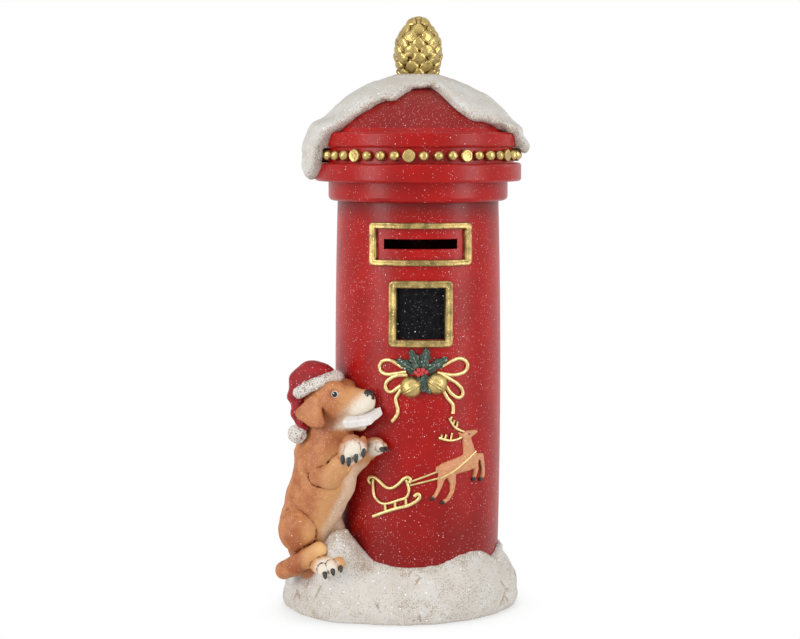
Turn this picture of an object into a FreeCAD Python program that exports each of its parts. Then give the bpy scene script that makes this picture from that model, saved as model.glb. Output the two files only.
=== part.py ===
import FreeCAD, Part
import math
import os

V = FreeCAD.Vector
UP = V(0, 0, 1)

# Pillar and its hollow, in millimetres; the pillar stands on the z axis.
PILLAR_RADIUS = 40.8
PILLAR_SWELL = 1.4
PILLAR_HEIGHT = 195.7
PILLAR_WALL = 4.5
FLOOR_HEIGHT = 12.0
SPIGOT_HEIGHT = 18.0

# Collar, two rings and the bead channel between them, then the dome.
COLLAR_HEIGHT = 9.8
COLLAR_PROUD = 4.6
COLLAR_ROUND = 2.4
RING_HEIGHT = 9.1
RING_PROUD = 11.4
CHANNEL_HEIGHT = 7.9
CHANNEL_PROUD = 7.7
EAVES_HEIGHT = 7.5
EAVES_PROUD = 9.4
DOME_RISE = 24.5
DOME_PROUD = 5.7
DOME_WALL = 4.5
EDGE_ROUND = 1.4

# Coin slot, window and their raised frames.
SLOT_LENGTH = 36.0
SLOT_HEIGHT = 5.0
SLOT_DROP = 20.2
FRAME_BORDER = 3.4
FRAME_RELIEF = 2.2
SLOT_FRAME_WIDTH = 49.8
SLOT_FRAME_HEIGHT = 21.2
WINDOW_DROP = 34.0
WINDOW_WIDTH = 30.8
WINDOW_HEIGHT = 31.9
PANE_DEPTH = 1.8
PANE_THICKNESS = 1.2

# Stopper in the floor: a plug, its flange in a counterbore and a grip bar.
HOLE_RADIUS = 15.0
COUNTERBORE_RADIUS = 19.0
COUNTERBORE_DEPTH = 6.0
STOPPER_CLEARANCE = 0.1
FLANGE_THICKNESS = 2.0
GRIP_HEIGHT = 3.0
GRIP_WIDTH = 3.0

# Snow foot: an oval round the pillar and the puppy.
BASE_HALF_LENGTH = 61.0
BASE_HALF_DEPTH = 51.6
BASE_OFFSET = 9.4
SNOW_LINE = 28.0

# Snow cap on the roof and the pine cone on it.
CAP_THICKNESS = 4.8
LOBE_THICKNESS = 2.5
CONE_HEIGHT = 29.5
CONE_RADIUS = 10.6
CONE_COLUMNS = 10
CONE_ROWS = 8
SCALE_TIP = 1.7
PEG_RADIUS = 4.0

# Bead row: every fourth bead is a dished disc.
STUD_COUNT = 44
STUD_RADIUS = 2.65
DISC_RADIUS = 3.1
STUD_PHASE = -7.0

# Low relief on the pillar.
BOW_DROP = 29.0
TEAM_RISE = 53.0
LEAF_RELIEF = 1.8
CORD_RELIEF = 1.3
TEAM_RELIEF = 1.8
BELL_RADIUS = 5.2
BERRY_RADIUS = 1.35
BERRY_CLEARANCE = 0.03

# Puppy: distances along, across and above its own middle line.
DOG_YAW = 30.0
DOG_LEFT = 4.2
DOG_FRONT = 12.8
HAT_TILT = 27.5
HAT_RADIUS = 13.4
BAND_RADIUS = 2.7
POMPOM_RADIUS = 4.8
LETTER_ROLL = 18.0
LETTER_PITCH = 11.0

COLLAR_Z = FLOOR_HEIGHT + PILLAR_HEIGHT
RING_Z = COLLAR_Z + COLLAR_HEIGHT
CHANNEL_Z = RING_Z + RING_HEIGHT
EAVES_Z = CHANNEL_Z + CHANNEL_HEIGHT
DOME_Z = EAVES_Z + EAVES_HEIGHT
CROWN_Z = DOME_Z + DOME_RISE
PILLAR_TOP = COLLAR_Z + SPIGOT_HEIGHT
SLOT_Z = COLLAR_Z - SLOT_DROP
WINDOW_Z = SLOT_Z - WINDOW_DROP
BOW_Z = WINDOW_Z - BOW_DROP
TEAM_Z = FLOOR_HEIGHT + TEAM_RISE
COLLAR_RADIUS = PILLAR_RADIUS + COLLAR_PROUD
RING_RADIUS = PILLAR_RADIUS + RING_PROUD
CHANNEL_RADIUS = PILLAR_RADIUS + CHANNEL_PROUD
EAVES_RADIUS = PILLAR_RADIUS + EAVES_PROUD
DOME_FOOT = PILLAR_RADIUS + DOME_PROUD
BORE_RADIUS = PILLAR_RADIUS - PILLAR_WALL
DOME_RADIUS = (DOME_FOOT ** 2 + DOME_RISE ** 2) / (2 * DOME_RISE)
DOME_CENTRE = CROWN_Z - DOME_RADIUS
BEAD_RADIUS = CHANNEL_RADIUS + 1.5
BEAD_REACH = BEAD_RADIUS + STUD_RADIUS + 0.1


def bump(angle, middle, width):
    """Smooth hill of height one round an azimuth in degrees."""
    away = (angle - middle + 180.0) % 360.0 - 180.0
    return math.exp(-(away / width) ** 2)


def plateau(angle, middle, width):
    """Flat-topped hill of height one round an azimuth in degrees."""
    away = (angle - middle + 180.0) % 360.0 - 180.0
    return math.exp(-(away / width) ** 4)


def heading(angle):
    """Unit vector for an azimuth: 0 is the front, 90 the right hand side."""
    turn = math.radians(angle)
    return V(math.sin(turn), -math.cos(turn), 0)


def turned(edges):
    """Solid of revolution about the z axis."""
    return Part.Face(Part.Wire(edges)).revolve(V(0, 0, 0), UP, 360)


def profile(corners):
    """Solid of revolution from (radius, height) corners."""
    loop = [V(r, 0, z) for r, z in corners]
    return turned(Part.makePolygon(loop + loop[:1]).Edges)


def drum(radius, low, high):
    return Part.makeCylinder(radius, high - low, V(0, 0, low))


def barrel(extra):
    """Swelling pillar grown outwards by the given amount."""
    low = V(PILLAR_RADIUS + extra, 0, FLOOR_HEIGHT)
    high = V(PILLAR_RADIUS + extra, 0, COLLAR_Z)
    middle = (low + high) * 0.5 + V(PILLAR_SWELL, 0, 0)
    side = Part.Arc(low, middle, high).toShape()
    foot = Part.makeLine(V(0, 0, FLOOR_HEIGHT), low)
    head = Part.makeLine(high, V(0, 0, COLLAR_Z))
    axis = Part.makeLine(V(0, 0, COLLAR_Z), V(0, 0, FLOOR_HEIGHT))
    return turned([foot, side, head, axis])


def round_rims(solid, radii, size):
    """Round the outer circular edges that have one of the given radii."""
    rims = []
    for edge in solid.Edges:
        curve = edge.Curve
        if isinstance(curve, Part.Circle) and min(abs(curve.Radius - r) for r in radii) < 1e-6:
            rims.append(edge)
    return solid.makeFillet(size, rims)


def join(solids):
    return solids[0].multiFuse(solids[1:]) if len(solids) > 1 else solids[0]


def ring_wire(radius_at, z, steps):
    """Closed smooth curve at one height from a radius for every azimuth."""
    angles = [360.0 * k / steps for k in range(steps)]
    curve = Part.BSplineCurve()
    points = [heading(a) * radius_at(a, z) + V(0, 0, z) for a in angles]
    curve.interpolate(Points=points, PeriodicFlag=True)
    return Part.Wire([curve.toShape()])


def stacked(radius_at, heights, steps):
    """Solid skinned over closed curves, one for each height."""
    return Part.makeLoft([ring_wire(radius_at, z, steps) for z in heights], True, True)


# Pillar shell
pillar_form = barrel(0)
slot_cut = Part.makeBox(SLOT_LENGTH, 2 * PILLAR_RADIUS, SLOT_HEIGHT)
slot_cut.translate(V(-SLOT_LENGTH / 2, -2 * PILLAR_RADIUS, SLOT_Z - SLOT_HEIGHT / 2))


def plate(width, height, z, corner):
    """Upright block with rounded corners, reaching forward from the pillar's axis."""
    block = Part.makeBox(width, 2 * PILLAR_RADIUS, height, V(-width / 2, -2 * PILLAR_RADIUS, z - height / 2))
    upright = [e for e in block.Edges if abs(e.BoundBox.YLength) > PILLAR_RADIUS]
    return block.makeFillet(corner, upright)


pane_block = plate(WINDOW_WIDTH - 2 * FRAME_BORDER, WINDOW_HEIGHT - 2 * FRAME_BORDER, WINDOW_Z, 0.8)
window_pocket = pane_block.common(pillar_form.cut(barrel(-PANE_DEPTH)))
spigot = drum(PILLAR_RADIUS, COLLAR_Z, PILLAR_TOP)
pillar_shell = pillar_form.fuse(spigot).removeSplitter()
pillar_shell = pillar_shell.cut(drum(BORE_RADIUS, FLOOR_HEIGHT, PILLAR_TOP))
pillar_shell = pillar_shell.cut(slot_cut).cut(window_pocket)
courses = [FLOOR_HEIGHT, SLOT_Z - SLOT_HEIGHT / 2, SLOT_Z + SLOT_HEIGHT / 2, PILLAR_TOP]
pillar_shell = Part.makeCompound([
    pillar_shell.common(drum(2 * PILLAR_RADIUS, low, high)) for low, high in zip(courses, courses[1:])])
window_panel = pane_block.common(barrel(PANE_THICKNESS - PANE_DEPTH).cut(barrel(-PANE_DEPTH)))

# Raised frames
frame_skin = barrel(FRAME_RELIEF).cut(pillar_form)


def picture_frame(width, height, z):
    outer = plate(width, height, z, 1.2)
    inner = plate(width - 2 * FRAME_BORDER, height - 2 * FRAME_BORDER, z, 0.8)
    bars = outer.cut(inner).common(frame_skin)
    right = Part.makeBox(width, 2 * PILLAR_RADIUS, height, V(0, -2 * PILLAR_RADIUS, z - height / 2))
    return bars.cut(right).fuse(bars.common(right))


slot_frame = picture_frame(SLOT_FRAME_WIDTH, SLOT_FRAME_HEIGHT, SLOT_Z)
window_frame = picture_frame(WINDOW_WIDTH, WINDOW_HEIGHT, WINDOW_Z)

# Cornice ring: collar, lower ring and the wall behind the beads
cornice_ring = profile([
    (PILLAR_RADIUS, COLLAR_Z),
    (COLLAR_RADIUS, COLLAR_Z),
    (COLLAR_RADIUS, RING_Z),
    (RING_RADIUS, RING_Z),
    (RING_RADIUS, CHANNEL_Z),
    (CHANNEL_RADIUS, CHANNEL_Z),
    (CHANNEL_RADIUS, EAVES_Z),
    (BORE_RADIUS, EAVES_Z),
    (BORE_RADIUS, PILLAR_TOP),
    (PILLAR_RADIUS, PILLAR_TOP)])
cornice_ring = round_rims(cornice_ring, [RING_RADIUS], EDGE_ROUND)
lower_edges = [e for e in cornice_ring.Edges if e.BoundBox.ZMax < COLLAR_Z + 0.1]
collar_edge = [e for e in lower_edges if e.BoundBox.XMax > COLLAR_RADIUS - 0.1]
cornice_ring = cornice_ring.makeFillet(COLLAR_ROUND, collar_edge)

# Roof: the upper ring and a hollow dome
dome_ball = Part.makeSphere(DOME_RADIUS, V(0, 0, DOME_CENTRE))
dome_cap = dome_ball.common(drum(DOME_FOOT, DOME_Z, CROWN_Z))
eaves = round_rims(drum(EAVES_RADIUS, EAVES_Z, DOME_Z), [EAVES_RADIUS], EDGE_ROUND)
roof_form = eaves.fuse(dome_cap)
hollow_ball = Part.makeSphere(DOME_RADIUS - DOME_WALL, V(0, 0, DOME_CENTRE))
hollow = hollow_ball.common(drum(BORE_RADIUS, EAVES_Z, CROWN_Z))
peg = drum(PEG_RADIUS, CROWN_Z - DOME_WALL, CROWN_Z + CAP_THICKNESS)
roof_dome = roof_form.cut(hollow).cut(peg)

# Snow cap: it covers the dome down to a ragged edge, with lobes over the rings
CAP_BALL = DOME_RADIUS + CAP_THICKNESS
CAP_TOP = DOME_CENTRE + CAP_BALL - 0.8


def cap_edge(angle):
    """Height of the snow's lower edge at an azimuth."""
    front = 14.0 * plateau(angle, 0, 55) + 10.5 * plateau(angle, -2, 31)
    lobes = 20.0 * plateau(angle, -92, 27) + 8.0 * plateau(angle, 88, 19) + 6.0 * plateau(angle, 178, 24)
    return DOME_Z - 4.0 + front - lobes


def cap_radius(angle, z):
    """Radius of the snow at one height; below the edge it lies inside the roof."""
    bare = BEAD_REACH
    full = BEAD_REACH + LOBE_THICKNESS * (1.0 + bump(angle, -92, 30))
    if z > DOME_Z:
        bare = math.sqrt(max(DOME_RADIUS ** 2 - (z - DOME_CENTRE) ** 2, 1.0))
        full = min(full, math.sqrt(CAP_BALL ** 2 - (z - DOME_CENTRE) ** 2))
    rise = max(-1.0, min(1.0, (z - cap_edge(angle)) / 6.0))
    cover = math.sqrt(1.0 - (1.0 - rise) ** 2) if rise > 0 else rise
    inside = 0.86 * bare
    return inside + (full - inside) * (0.35 + 0.65 * cover)


cap_heights = [RING_Z + (CAP_TOP - RING_Z) * k / 13.0 for k in range(14)]
cap_form = stacked(cap_radius, cap_heights, 48)
roof_envelope = join([
    drum(RING_RADIUS, RING_Z - 2.0, CHANNEL_Z),
    drum(BEAD_REACH, CHANNEL_Z, EAVES_Z),
    drum(EAVES_RADIUS, EAVES_Z, DOME_Z),
    dome_cap])
roof_snow = cap_form.cut(roof_envelope).cut(drum(PEG_RADIUS, DOME_Z, CAP_TOP + 2.0))

# Bead row in the channel
bead_z = (CHANNEL_Z + EAVES_Z) / 2.0
channel_core = drum(CHANNEL_RADIUS, CHANNEL_Z, EAVES_Z)
bead = Part.makeSphere(STUD_RADIUS, V(0, -BEAD_RADIUS, bead_z)).cut(channel_core)
disc = Part.makeCylinder(DISC_RADIUS, BEAD_RADIUS + 1.6, V(0, 0, bead_z), V(0, -1, 0))
disc = disc.makeFillet(0.6, [e for e in disc.Edges if e.BoundBox.YMax < -BEAD_RADIUS])
dish = Part.makeSphere(2 * DISC_RADIUS, V(0, -BEAD_RADIUS - 1.2 - 2 * DISC_RADIUS + 0.2, bead_z))
disc = disc.cut(dish).cut(channel_core)
beads = []
discs = []
for k in range(STUD_COUNT):
    copy = (bead if k % 4 else disc).copy()
    copy.rotate(V(0, 0, 0), UP, STUD_PHASE + 360.0 * k / STUD_COUNT)
    (beads if k % 4 else discs).append(copy)
round_studs = Part.makeCompound(beads)
disc_studs = Part.makeCompound(discs)

# Pine cone: staggered rows of pointed scales on a swelling core
cone_foot = CAP_TOP


def cone_point(row, turn):
    """Corner of the scale lattice; turn counts columns round the core."""
    share = row / float(CONE_ROWS)
    radius = CONE_RADIUS * math.sqrt(1.0 - ((share - 0.38) / 0.66) ** 2)
    return heading(360.0 * turn / CONE_COLUMNS) * radius + V(0, 0, cone_foot + share * CONE_HEIGHT)


def scale_tip(row, turn):
    middle = cone_point(row, turn)
    out = V(middle.x, middle.y, 0).normalize()
    return middle + out * SCALE_TIP * (1.0 - 0.5 * row / CONE_ROWS) + UP * 0.9


cone_faces = []


def triangle(a, b, c):
    cone_faces.append(Part.Face(Part.makePolygon([a, b, c, a])))


for row in range(CONE_ROWS - 1):
    for column in range(CONE_COLUMNS):
        turn = column + 0.5 * (row % 2)
        corners = [cone_point(row, turn), cone_point(row + 1, turn + 0.5)]
        corners += [cone_point(row + 2, turn), cone_point(row + 1, turn - 0.5)]
        tip = scale_tip(row + 1, turn)
        for k in range(4):
            triangle(corners[k], corners[(k + 1) % 4], tip)
for column in range(CONE_COLUMNS):
    triangle(cone_point(0, column), cone_point(0, column + 1), cone_point(1, column + 0.5))
    turn = column + 0.5 * (CONE_ROWS % 2)
    triangle(cone_point(CONE_ROWS, turn), cone_point(CONE_ROWS, turn + 1), cone_point(CONE_ROWS - 1, turn + 0.5))
for row in (0, CONE_ROWS):
    rim = [cone_point(row, k + 0.5 * (row % 2)) for k in range(CONE_COLUMNS)]
    cone_faces.append(Part.Face(Part.makePolygon(rim + rim[:1])))
pine_cone = Part.makeSolid(Part.makeShell(cone_faces))
pine_cone = pine_cone.fuse(drum(PEG_RADIUS, CROWN_Z - DOME_WALL, cone_foot + 0.5))

# Snow foot with the floor, the stopper's hole and its counterbore


def base_rim(angle):
    """Distance from the pillar's axis to the oval rim at an azimuth."""
    way = heading(angle)
    a = (way.x / BASE_HALF_LENGTH) ** 2 + (way.y / BASE_HALF_DEPTH) ** 2
    b = way.x * BASE_OFFSET / BASE_HALF_LENGTH ** 2
    c = (BASE_OFFSET / BASE_HALF_LENGTH) ** 2 - 1.0
    ripple = 0.6 * math.sin(math.radians(5 * angle + 40))
    return (-b + math.sqrt(b * b - a * c)) / a + ripple


def base_line(angle):
    """Height at which the snow meets the pillar."""
    drift = 14.5 * bump(angle, -62, 15) + 5.5 * bump(angle, 36, 13) + 3.5 * bump(angle, 88, 16)
    return SNOW_LINE + drift + 5.0 * bump(angle, 140, 30) + 4.0 * bump(angle, -135, 28)


def base_radius(angle, z):
    rim = base_rim(angle)
    share = z / base_line(angle)
    steep = 3.2 - 0.9 * bump(angle, -80, 42)
    fall = (rim - PILLAR_RADIUS) * share ** steep
    tuck = 2.0 * max(0.0, 1.0 - z / 7.0) ** 2
    return max(rim - fall - tuck, 0.55 * PILLAR_RADIUS)


base_top = SNOW_LINE + 15.5
base_heights = [base_top * share for share in (0.0, 0.07, 0.2, 0.34, 0.47, 0.6, 0.73, 0.86, 1.0)]
base_form = stacked(base_radius, base_heights, 40)
snow_base = base_form.cut(pillar_form)
snow_base = snow_base.cut(drum(HOLE_RADIUS, 0, FLOOR_HEIGHT))
snow_base = snow_base.cut(drum(COUNTERBORE_RADIUS, 0, COUNTERBORE_DEPTH))

# Soft stopper
plug_top = FLOOR_HEIGHT + 1.0
flange_low = COUNTERBORE_DEPTH - FLANGE_THICKNESS
plug = drum(HOLE_RADIUS - STOPPER_CLEARANCE, flange_low, plug_top)
plug = round_rims(plug, [HOLE_RADIUS - STOPPER_CLEARANCE], 0.8)
flange = drum(COUNTERBORE_RADIUS - 1.0, flange_low, COUNTERBORE_DEPTH - STOPPER_CLEARANCE)
grip_length = 1.3 * HOLE_RADIUS
grip = Part.makeBox(grip_length, GRIP_WIDTH, GRIP_HEIGHT)
grip.translate(V(-grip_length / 2, -GRIP_WIDTH / 2, flange_low - GRIP_HEIGHT))
coin_stopper = join([plug, flange, grip]).removeSplitter()

# Low relief: flat outlines carried onto the pillar's surface
REACH = 2 * PILLAR_RADIUS


def spline(points):
    curve = Part.BSplineCurve()
    curve.interpolate(points)
    return curve.toShape()


def stroke(points, x0, z0):
    """Limb with rounded ends through (x, height, half width) points."""
    middles = [V(x0 + x, 0, z0 + z) for x, z, half in points]
    ways = []
    for k in range(len(middles)):
        before = middles[max(k - 1, 0)]
        after = middles[min(k + 1, len(middles) - 1)]
        ways.append((after - before).normalize())
    left = [m + V(-w.z, 0, w.x) * p[2] for m, w, p in zip(middles, ways, points)]
    right = [m - V(-w.z, 0, w.x) * p[2] for m, w, p in zip(middles, ways, points)]
    tip = middles[-1] + ways[-1] * points[-1][2]
    tail = middles[0] - ways[0] * points[0][2]
    edges = [spline(left), Part.Arc(left[-1], tip, right[-1]).toShape()]
    edges += [spline(right[::-1]), Part.Arc(right[0], tail, left[0]).toShape()]
    return Part.Face(Part.Wire(edges)).extrude(V(0, -REACH, 0))


def cord(points, half, x0, z0):
    return stroke([(x, z, half) for x, z in points], x0, z0)


def relief(solids, height):
    return join(solids).common(barrel(height).cut(pillar_form))


def leaf(foot, tip, width):
    """Holly leaf with two spines a side, hollow arcs between the points."""
    start = V(foot[0], 0, BOW_Z + foot[1])
    way = V(tip[0], 0, BOW_Z + tip[1]) - start
    side = V(-way.z, 0, way.x).normalize() * width / 2.0
    corners = [start, start + way * 0.3 + side, start + way * 0.66 + side * 0.85, start + way]
    corners += [start + way * 0.66 - side * 0.85, start + way * 0.3 - side]
    edges = []
    for k in range(6):
        a = corners[k]
        b = corners[(k + 1) % 6]
        heart = start + way * 0.5
        middle = (a + b) * 0.5
        edges.append(Part.Arc(a, middle + (heart - middle) * 0.14, b).toShape())
    return Part.Face(Part.Wire(edges)).extrude(V(0, -REACH, 0))


def on_pillar(x, z, out):
    """Point at a distance outside the pillar's surface."""
    share = (z - FLOOR_HEIGHT) / PILLAR_HEIGHT
    radius = PILLAR_RADIUS + PILLAR_SWELL * 4.0 * share * (1.0 - share) + out
    return V(x, -math.sqrt(radius ** 2 - x * x), z)


bells = []
for x, z in [(-4.8, -6.9), (7.6, -5.3)]:
    heart = on_pillar(x, BOW_Z + z, -1.0)
    out = V(heart.x, heart.y, 0).normalize()
    ball = Part.makeSphere(BELL_RADIUS, heart)
    belt = Part.makeTorus(BELL_RADIUS, 0.5, heart, V(0.3, 0, 1))
    slit = Part.makeBox(0.9, BELL_RADIUS, BELL_RADIUS * 0.9, V(-0.45, -BELL_RADIUS - 1.0, -BELL_RADIUS * 1.05))
    slit.rotate(V(0, 0, 0), UP, math.degrees(math.atan2(heart.x, -heart.y)))
    slit.translate(heart)
    bells.append(ball.fuse(belt).cut(slit).cut(pillar_form))
jingle_bells = Part.makeCompound(bells)
holly_leaves = relief([
    leaf((-1.5, 0.4), (-12.2, 7.1), 8.0),
    leaf((-0.6, 0.8), (-5.4, 11.4), 7.0),
    leaf((0.8, 0.8), (2.5, 12.5), 7.0),
    leaf((1.5, 0.4), (13.3, 7.9), 8.0),
    leaf((-0.6, 0.6), (-0.2, -9.6), 6.4),
    leaf((0.8, 0.6), (4.8, -10.2), 6.4)], LEAF_RELIEF).cut(jingle_bells)
leaf_form = barrel(LEAF_RELIEF)
berries = []
for x, z in [(-2.75, -0.3), (-1.4, 2.2), (1.4, 2.2), (2.9, -0.2), (0.0, -0.4)]:
    heart = on_pillar(x, BOW_Z + z, LEAF_RELIEF + 0.4)
    berry = Part.makeSphere(BERRY_RADIUS, heart).cut(leaf_form)
    berry.translate(V(heart.x, heart.y, 0).normalize() * BERRY_CLEARANCE)
    berries.append(berry)
holly_berries = Part.makeCompound(berries)
bow_cords = [
    [(-10.5, 3.4), (-12.5, 5.4), (-16, 6.5), (-19, 5.4), (-20.2, 2.6), (-19.2, 0.2), (-16.6, -1),
     (-12.9, -0.5), (-8.8, 0.7)],
    [(-7.4, -1), (-10.8, -0.8), (-13.9, -2.3), (-16.6, -4.5), (-17.3, -7), (-16, -9.5), (-13.9, -9.6),
     (-11.5, -7.7), (-9.5, -4.6)],
    [(-10.5, -9.4), (-12.2, -11.6), (-12.2, -14.4), (-11, -17.8), (-11.2, -21), (-13.6, -24)],
    [(11.6, 3.6), (15.1, 5.9), (18.9, 7.1), (22.2, 5.4), (23.1, 2.6), (21.8, -0.1), (18.3, -1.2),
     (14, -1.3), (9.8, 0.2)],
    [(10.9, -0.9), (14, -3.1), (17.6, -5.4), (20.4, -8.7), (20.6, -11.5), (18.6, -13.1), (15.8, -11.5),
     (13, -8.2), (11.9, -4.7)],
    [(11.2, -9.2), (12.6, -12.4), (15.1, -15), (16, -17.1), (15.7, -19.9)]]
ribbon_bow = relief([cord(points, 0.85, 0, BOW_Z) for points in bow_cords], CORD_RELIEF)
ribbon_bow = ribbon_bow.cut(holly_leaves).cut(jingle_bells)

sleigh_rails = [
    cord([(-23.8, 3.4), (-25.4, 4.4), (-24.9, 6.5), (-22.5, 7.2), (-19.6, 4.8), (-16.8, 2.1), (-13.9, 1.9),
          (-11.1, 3.9), (-8.6, 6.9), (-6.2, 8.2), (-4.6, 6.6), (-5.6, 5.2)], 0.85, 0, TEAM_Z),
    cord([(-22.9, 5.8), (-23.1, 0), (-22.1, -3.6), (-19.2, -6.2), (-15.2, -5.7), (-11.1, -3.8), (-7, -2.6),
          (-5.6, 0.4), (-6, 3.7), (-7.2, 6.5)], 0.75, 0, TEAM_Z),
    cord([(-22.9, -12.9), (-17.2, -10), (-11.1, -7.7), (-6.2, -6.5), (-1.7, -3.9), (-0.3, -1.7), (-1.7, -0.2),
          (-2.9, -1.7)], 0.9, 0, TEAM_Z)]
for x, high, low in [(-17.2, -5.8, -10.0), (-12.5, -4.4, -8.2), (-7.3, -2.7, -6.8)]:
    sleigh_rails.append(cord([(x, high), (x + 0.2, low)], 0.7, 0, TEAM_Z))
sleigh = relief(sleigh_rails, TEAM_RELIEF)
reindeer = relief([
    stroke([(9.0, 11.5, 1.6), (12, 11.2, 3.8), (17.5, 12.6, 4.0), (23.5, 14.2, 4.6), (27.2, 16.0, 2.2)], 0, TEAM_Z),
    stroke([(25, 14.5, 4.0), (23.8, 20, 3.0), (22.8, 25.5, 2.3), (22.6, 28, 2.0)], 0, TEAM_Z),
    stroke([(19.8, 27.2, 1.2), (22.6, 27.6, 2.4), (25.5, 28.6, 1.7), (27.3, 29.0, 1.1)], 0, TEAM_Z),
    stroke([(11.5, 10.5, 3.2), (10, 6.5, 1.8), (9.2, 2.5, 1.0), (7.4, -1.2, 0.8), (5.6, -3.1, 1.0)], 0, TEAM_Z),
    stroke([(14.5, 9.5, 3.0), (15.8, 4.5, 1.5), (15.4, 0, 1.0), (13.4, -3.6, 0.8), (10.6, -5.2, 1.0)], 0, TEAM_Z),
    stroke([(26.8, 16, 2.2), (30.0, 16.4, 1.3), (31.0, 11, 0.9), (31.2, 6.4, 0.8), (30, 4.3, 1.0)], 0, TEAM_Z),
    stroke([(26.5, 13, 2.2), (27.6, 10.4, 1.2), (26.9, 7.0, 0.8), (26.3, 5.0, 1.0)], 0, TEAM_Z)], TEAM_RELIEF)
antlers = relief([
    stroke([(21, 30.0, 0.7), (17.6, 31.1, 0.7), (15.1, 33.8, 0.6), (13.8, 36.7, 0.45)], 0, TEAM_Z),
    stroke([(15.4, 33.2, 0.55), (16.4, 35.2, 0.45)], 0, TEAM_Z),
    stroke([(17.2, 31.2, 0.55), (18, 34.6, 0.45)], 0, TEAM_Z),
    stroke([(20.2, 27.0, 0.7), (18.5, 26.1, 0.7), (13.5, 25.4, 0.65), (8.9, 27.1, 0.45)], 0, TEAM_Z),
    stroke([(11.4, 25.9, 0.55), (12.4, 28.6, 0.45)], 0, TEAM_Z),
    stroke([(14.4, 25.5, 0.55), (15.3, 29.2, 0.45)], 0, TEAM_Z)], CORD_RELIEF).cut(reindeer)
reins = relief([
    cord([(-4.2, 5.9), (9.0, 10.7)], 0.55, 0, TEAM_Z),
    cord([(-5.0, 4.0), (9.5, 7.4)], 0.55, 0, TEAM_Z)], CORD_RELIEF).cut(sleigh).cut(reindeer)

# Puppy
ALONG = V(math.cos(math.radians(DOG_YAW)), -math.sin(math.radians(DOG_YAW)), 0)
ACROSS = V(-ALONG.y, ALONG.x, 0)
DOG_SEAT = V(-PILLAR_RADIUS - DOG_LEFT, -PILLAR_RADIUS + DOG_FRONT, 0)


def dog(along, across, z):
    return DOG_SEAT + ALONG * along + ACROSS * across + UP * z


def oval(middle, first, second, a, b):
    """Closed smooth oval with half sizes a and b along two directions."""
    turns = [2.0 * math.pi * k / 8 for k in range(8)]
    curve = Part.BSplineCurve()
    points = [middle + first * (a * math.cos(t)) + second * (b * math.sin(t)) for t in turns]
    curve.interpolate(Points=points, PeriodicFlag=True)
    return Part.Wire([curve.toShape()])


def loft(sections):
    return Part.makeLoft(sections, True, False)


def limb(points):
    """Rounded limb through (along, across, height, radius) points."""
    middles = [dog(s, l, z) for s, l, z, r in points]
    sections = []
    for k, (s, l, z, r) in enumerate(points):
        way = (middles[min(k + 1, len(middles) - 1)] - middles[max(k - 1, 0)]).normalize()
        first = way.cross(ACROSS).normalize()
        sections.append(oval(middles[k], first, way.cross(first), r, r))
    return loft(sections)


def ellipsoid(middle, a, b, c):
    """Ellipsoid with half sizes along, across and up."""
    grow = FreeCAD.Matrix()
    grow.A11, grow.A21, grow.A31 = ALONG * a
    grow.A12, grow.A22, grow.A32 = ACROSS * b
    grow.A13, grow.A23, grow.A33 = UP * c
    grow.A14, grow.A24, grow.A34 = middle
    return Part.makeSphere(1.0).transformGeometry(grow)


torso = loft([oval(dog(s, 0, z), ALONG, ACROSS, a, b) for s, z, a, b in [
    (-6.0, 17, 8.0, 8.0), (-11.2, 30, 11.5, 11.0), (-13.3, 45, 15.0, 13.0), (-6.7, 58, 17.0, 13.5),
    (-0.6, 71, 18.2, 12.8), (2.3, 82, 17.7, 12.0), (0.3, 92, 13.3, 10.5), (-1.0, 101, 10.8, 9.5), (-1.0, 107, 9.0, 8.5)]])
dog_body = torso.cut(pillar_form).cut(snow_base)

letter = Part.makeBox(18.5, 15.0, 2.4, V(-9.2, -7.5, -1.2))
letter.rotate(V(0, 0, 0), V(1, 0, 0), LETTER_ROLL)
letter.rotate(V(0, 0, 0), V(0, 1, 0), -LETTER_PITCH)
letter.rotate(V(0, 0, 0), UP, -DOG_YAW)
letter.translate(dog(22.0, -2.0, 102.6))
skull = loft([oval(dog(s, 0, z), UP, ACROSS, c, b) for s, z, c, b in [
    (-14, 108, 6, 6), (-9, 108, 12, 10.5), (-1, 109, 14.3, 12.5), (6, 108.8, 12.3, 11.8), (11, 107, 9.7, 9.5),
    (18, 106.3, 9.5, 8.0), (24, 106.3, 7.8, 7.0), (27.3, 106.5, 3.5, 4.0)]])
nose = ellipsoid(dog(25.2, 0, 112.4), 3.0, 3.6, 2.8)
head_form = skull.fuse(nose)
letter = letter.cut(pillar_form)
dog_head = head_form.cut(torso).cut(letter).cut(pillar_form)

ears = []
for side in (-1.0, 1.0):
    flap = loft([oval(dog(s, side * l, z), ALONG, ACROSS, a, b) for s, l, z, a, b in [
        (0.4, 11.4, 115, 2.5, 1.6), (-0.6, 12.2, 109, 6.0, 2.4),
        (-1.8, 12.6, 102.5, 8.8, 2.4), (-0.4, 12.4, 97.2, 4.2, 1.6)]])
    ears.append(flap.cut(head_form).cut(torso).cut(pillar_form))
dog_ears = Part.makeCompound(ears)

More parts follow.
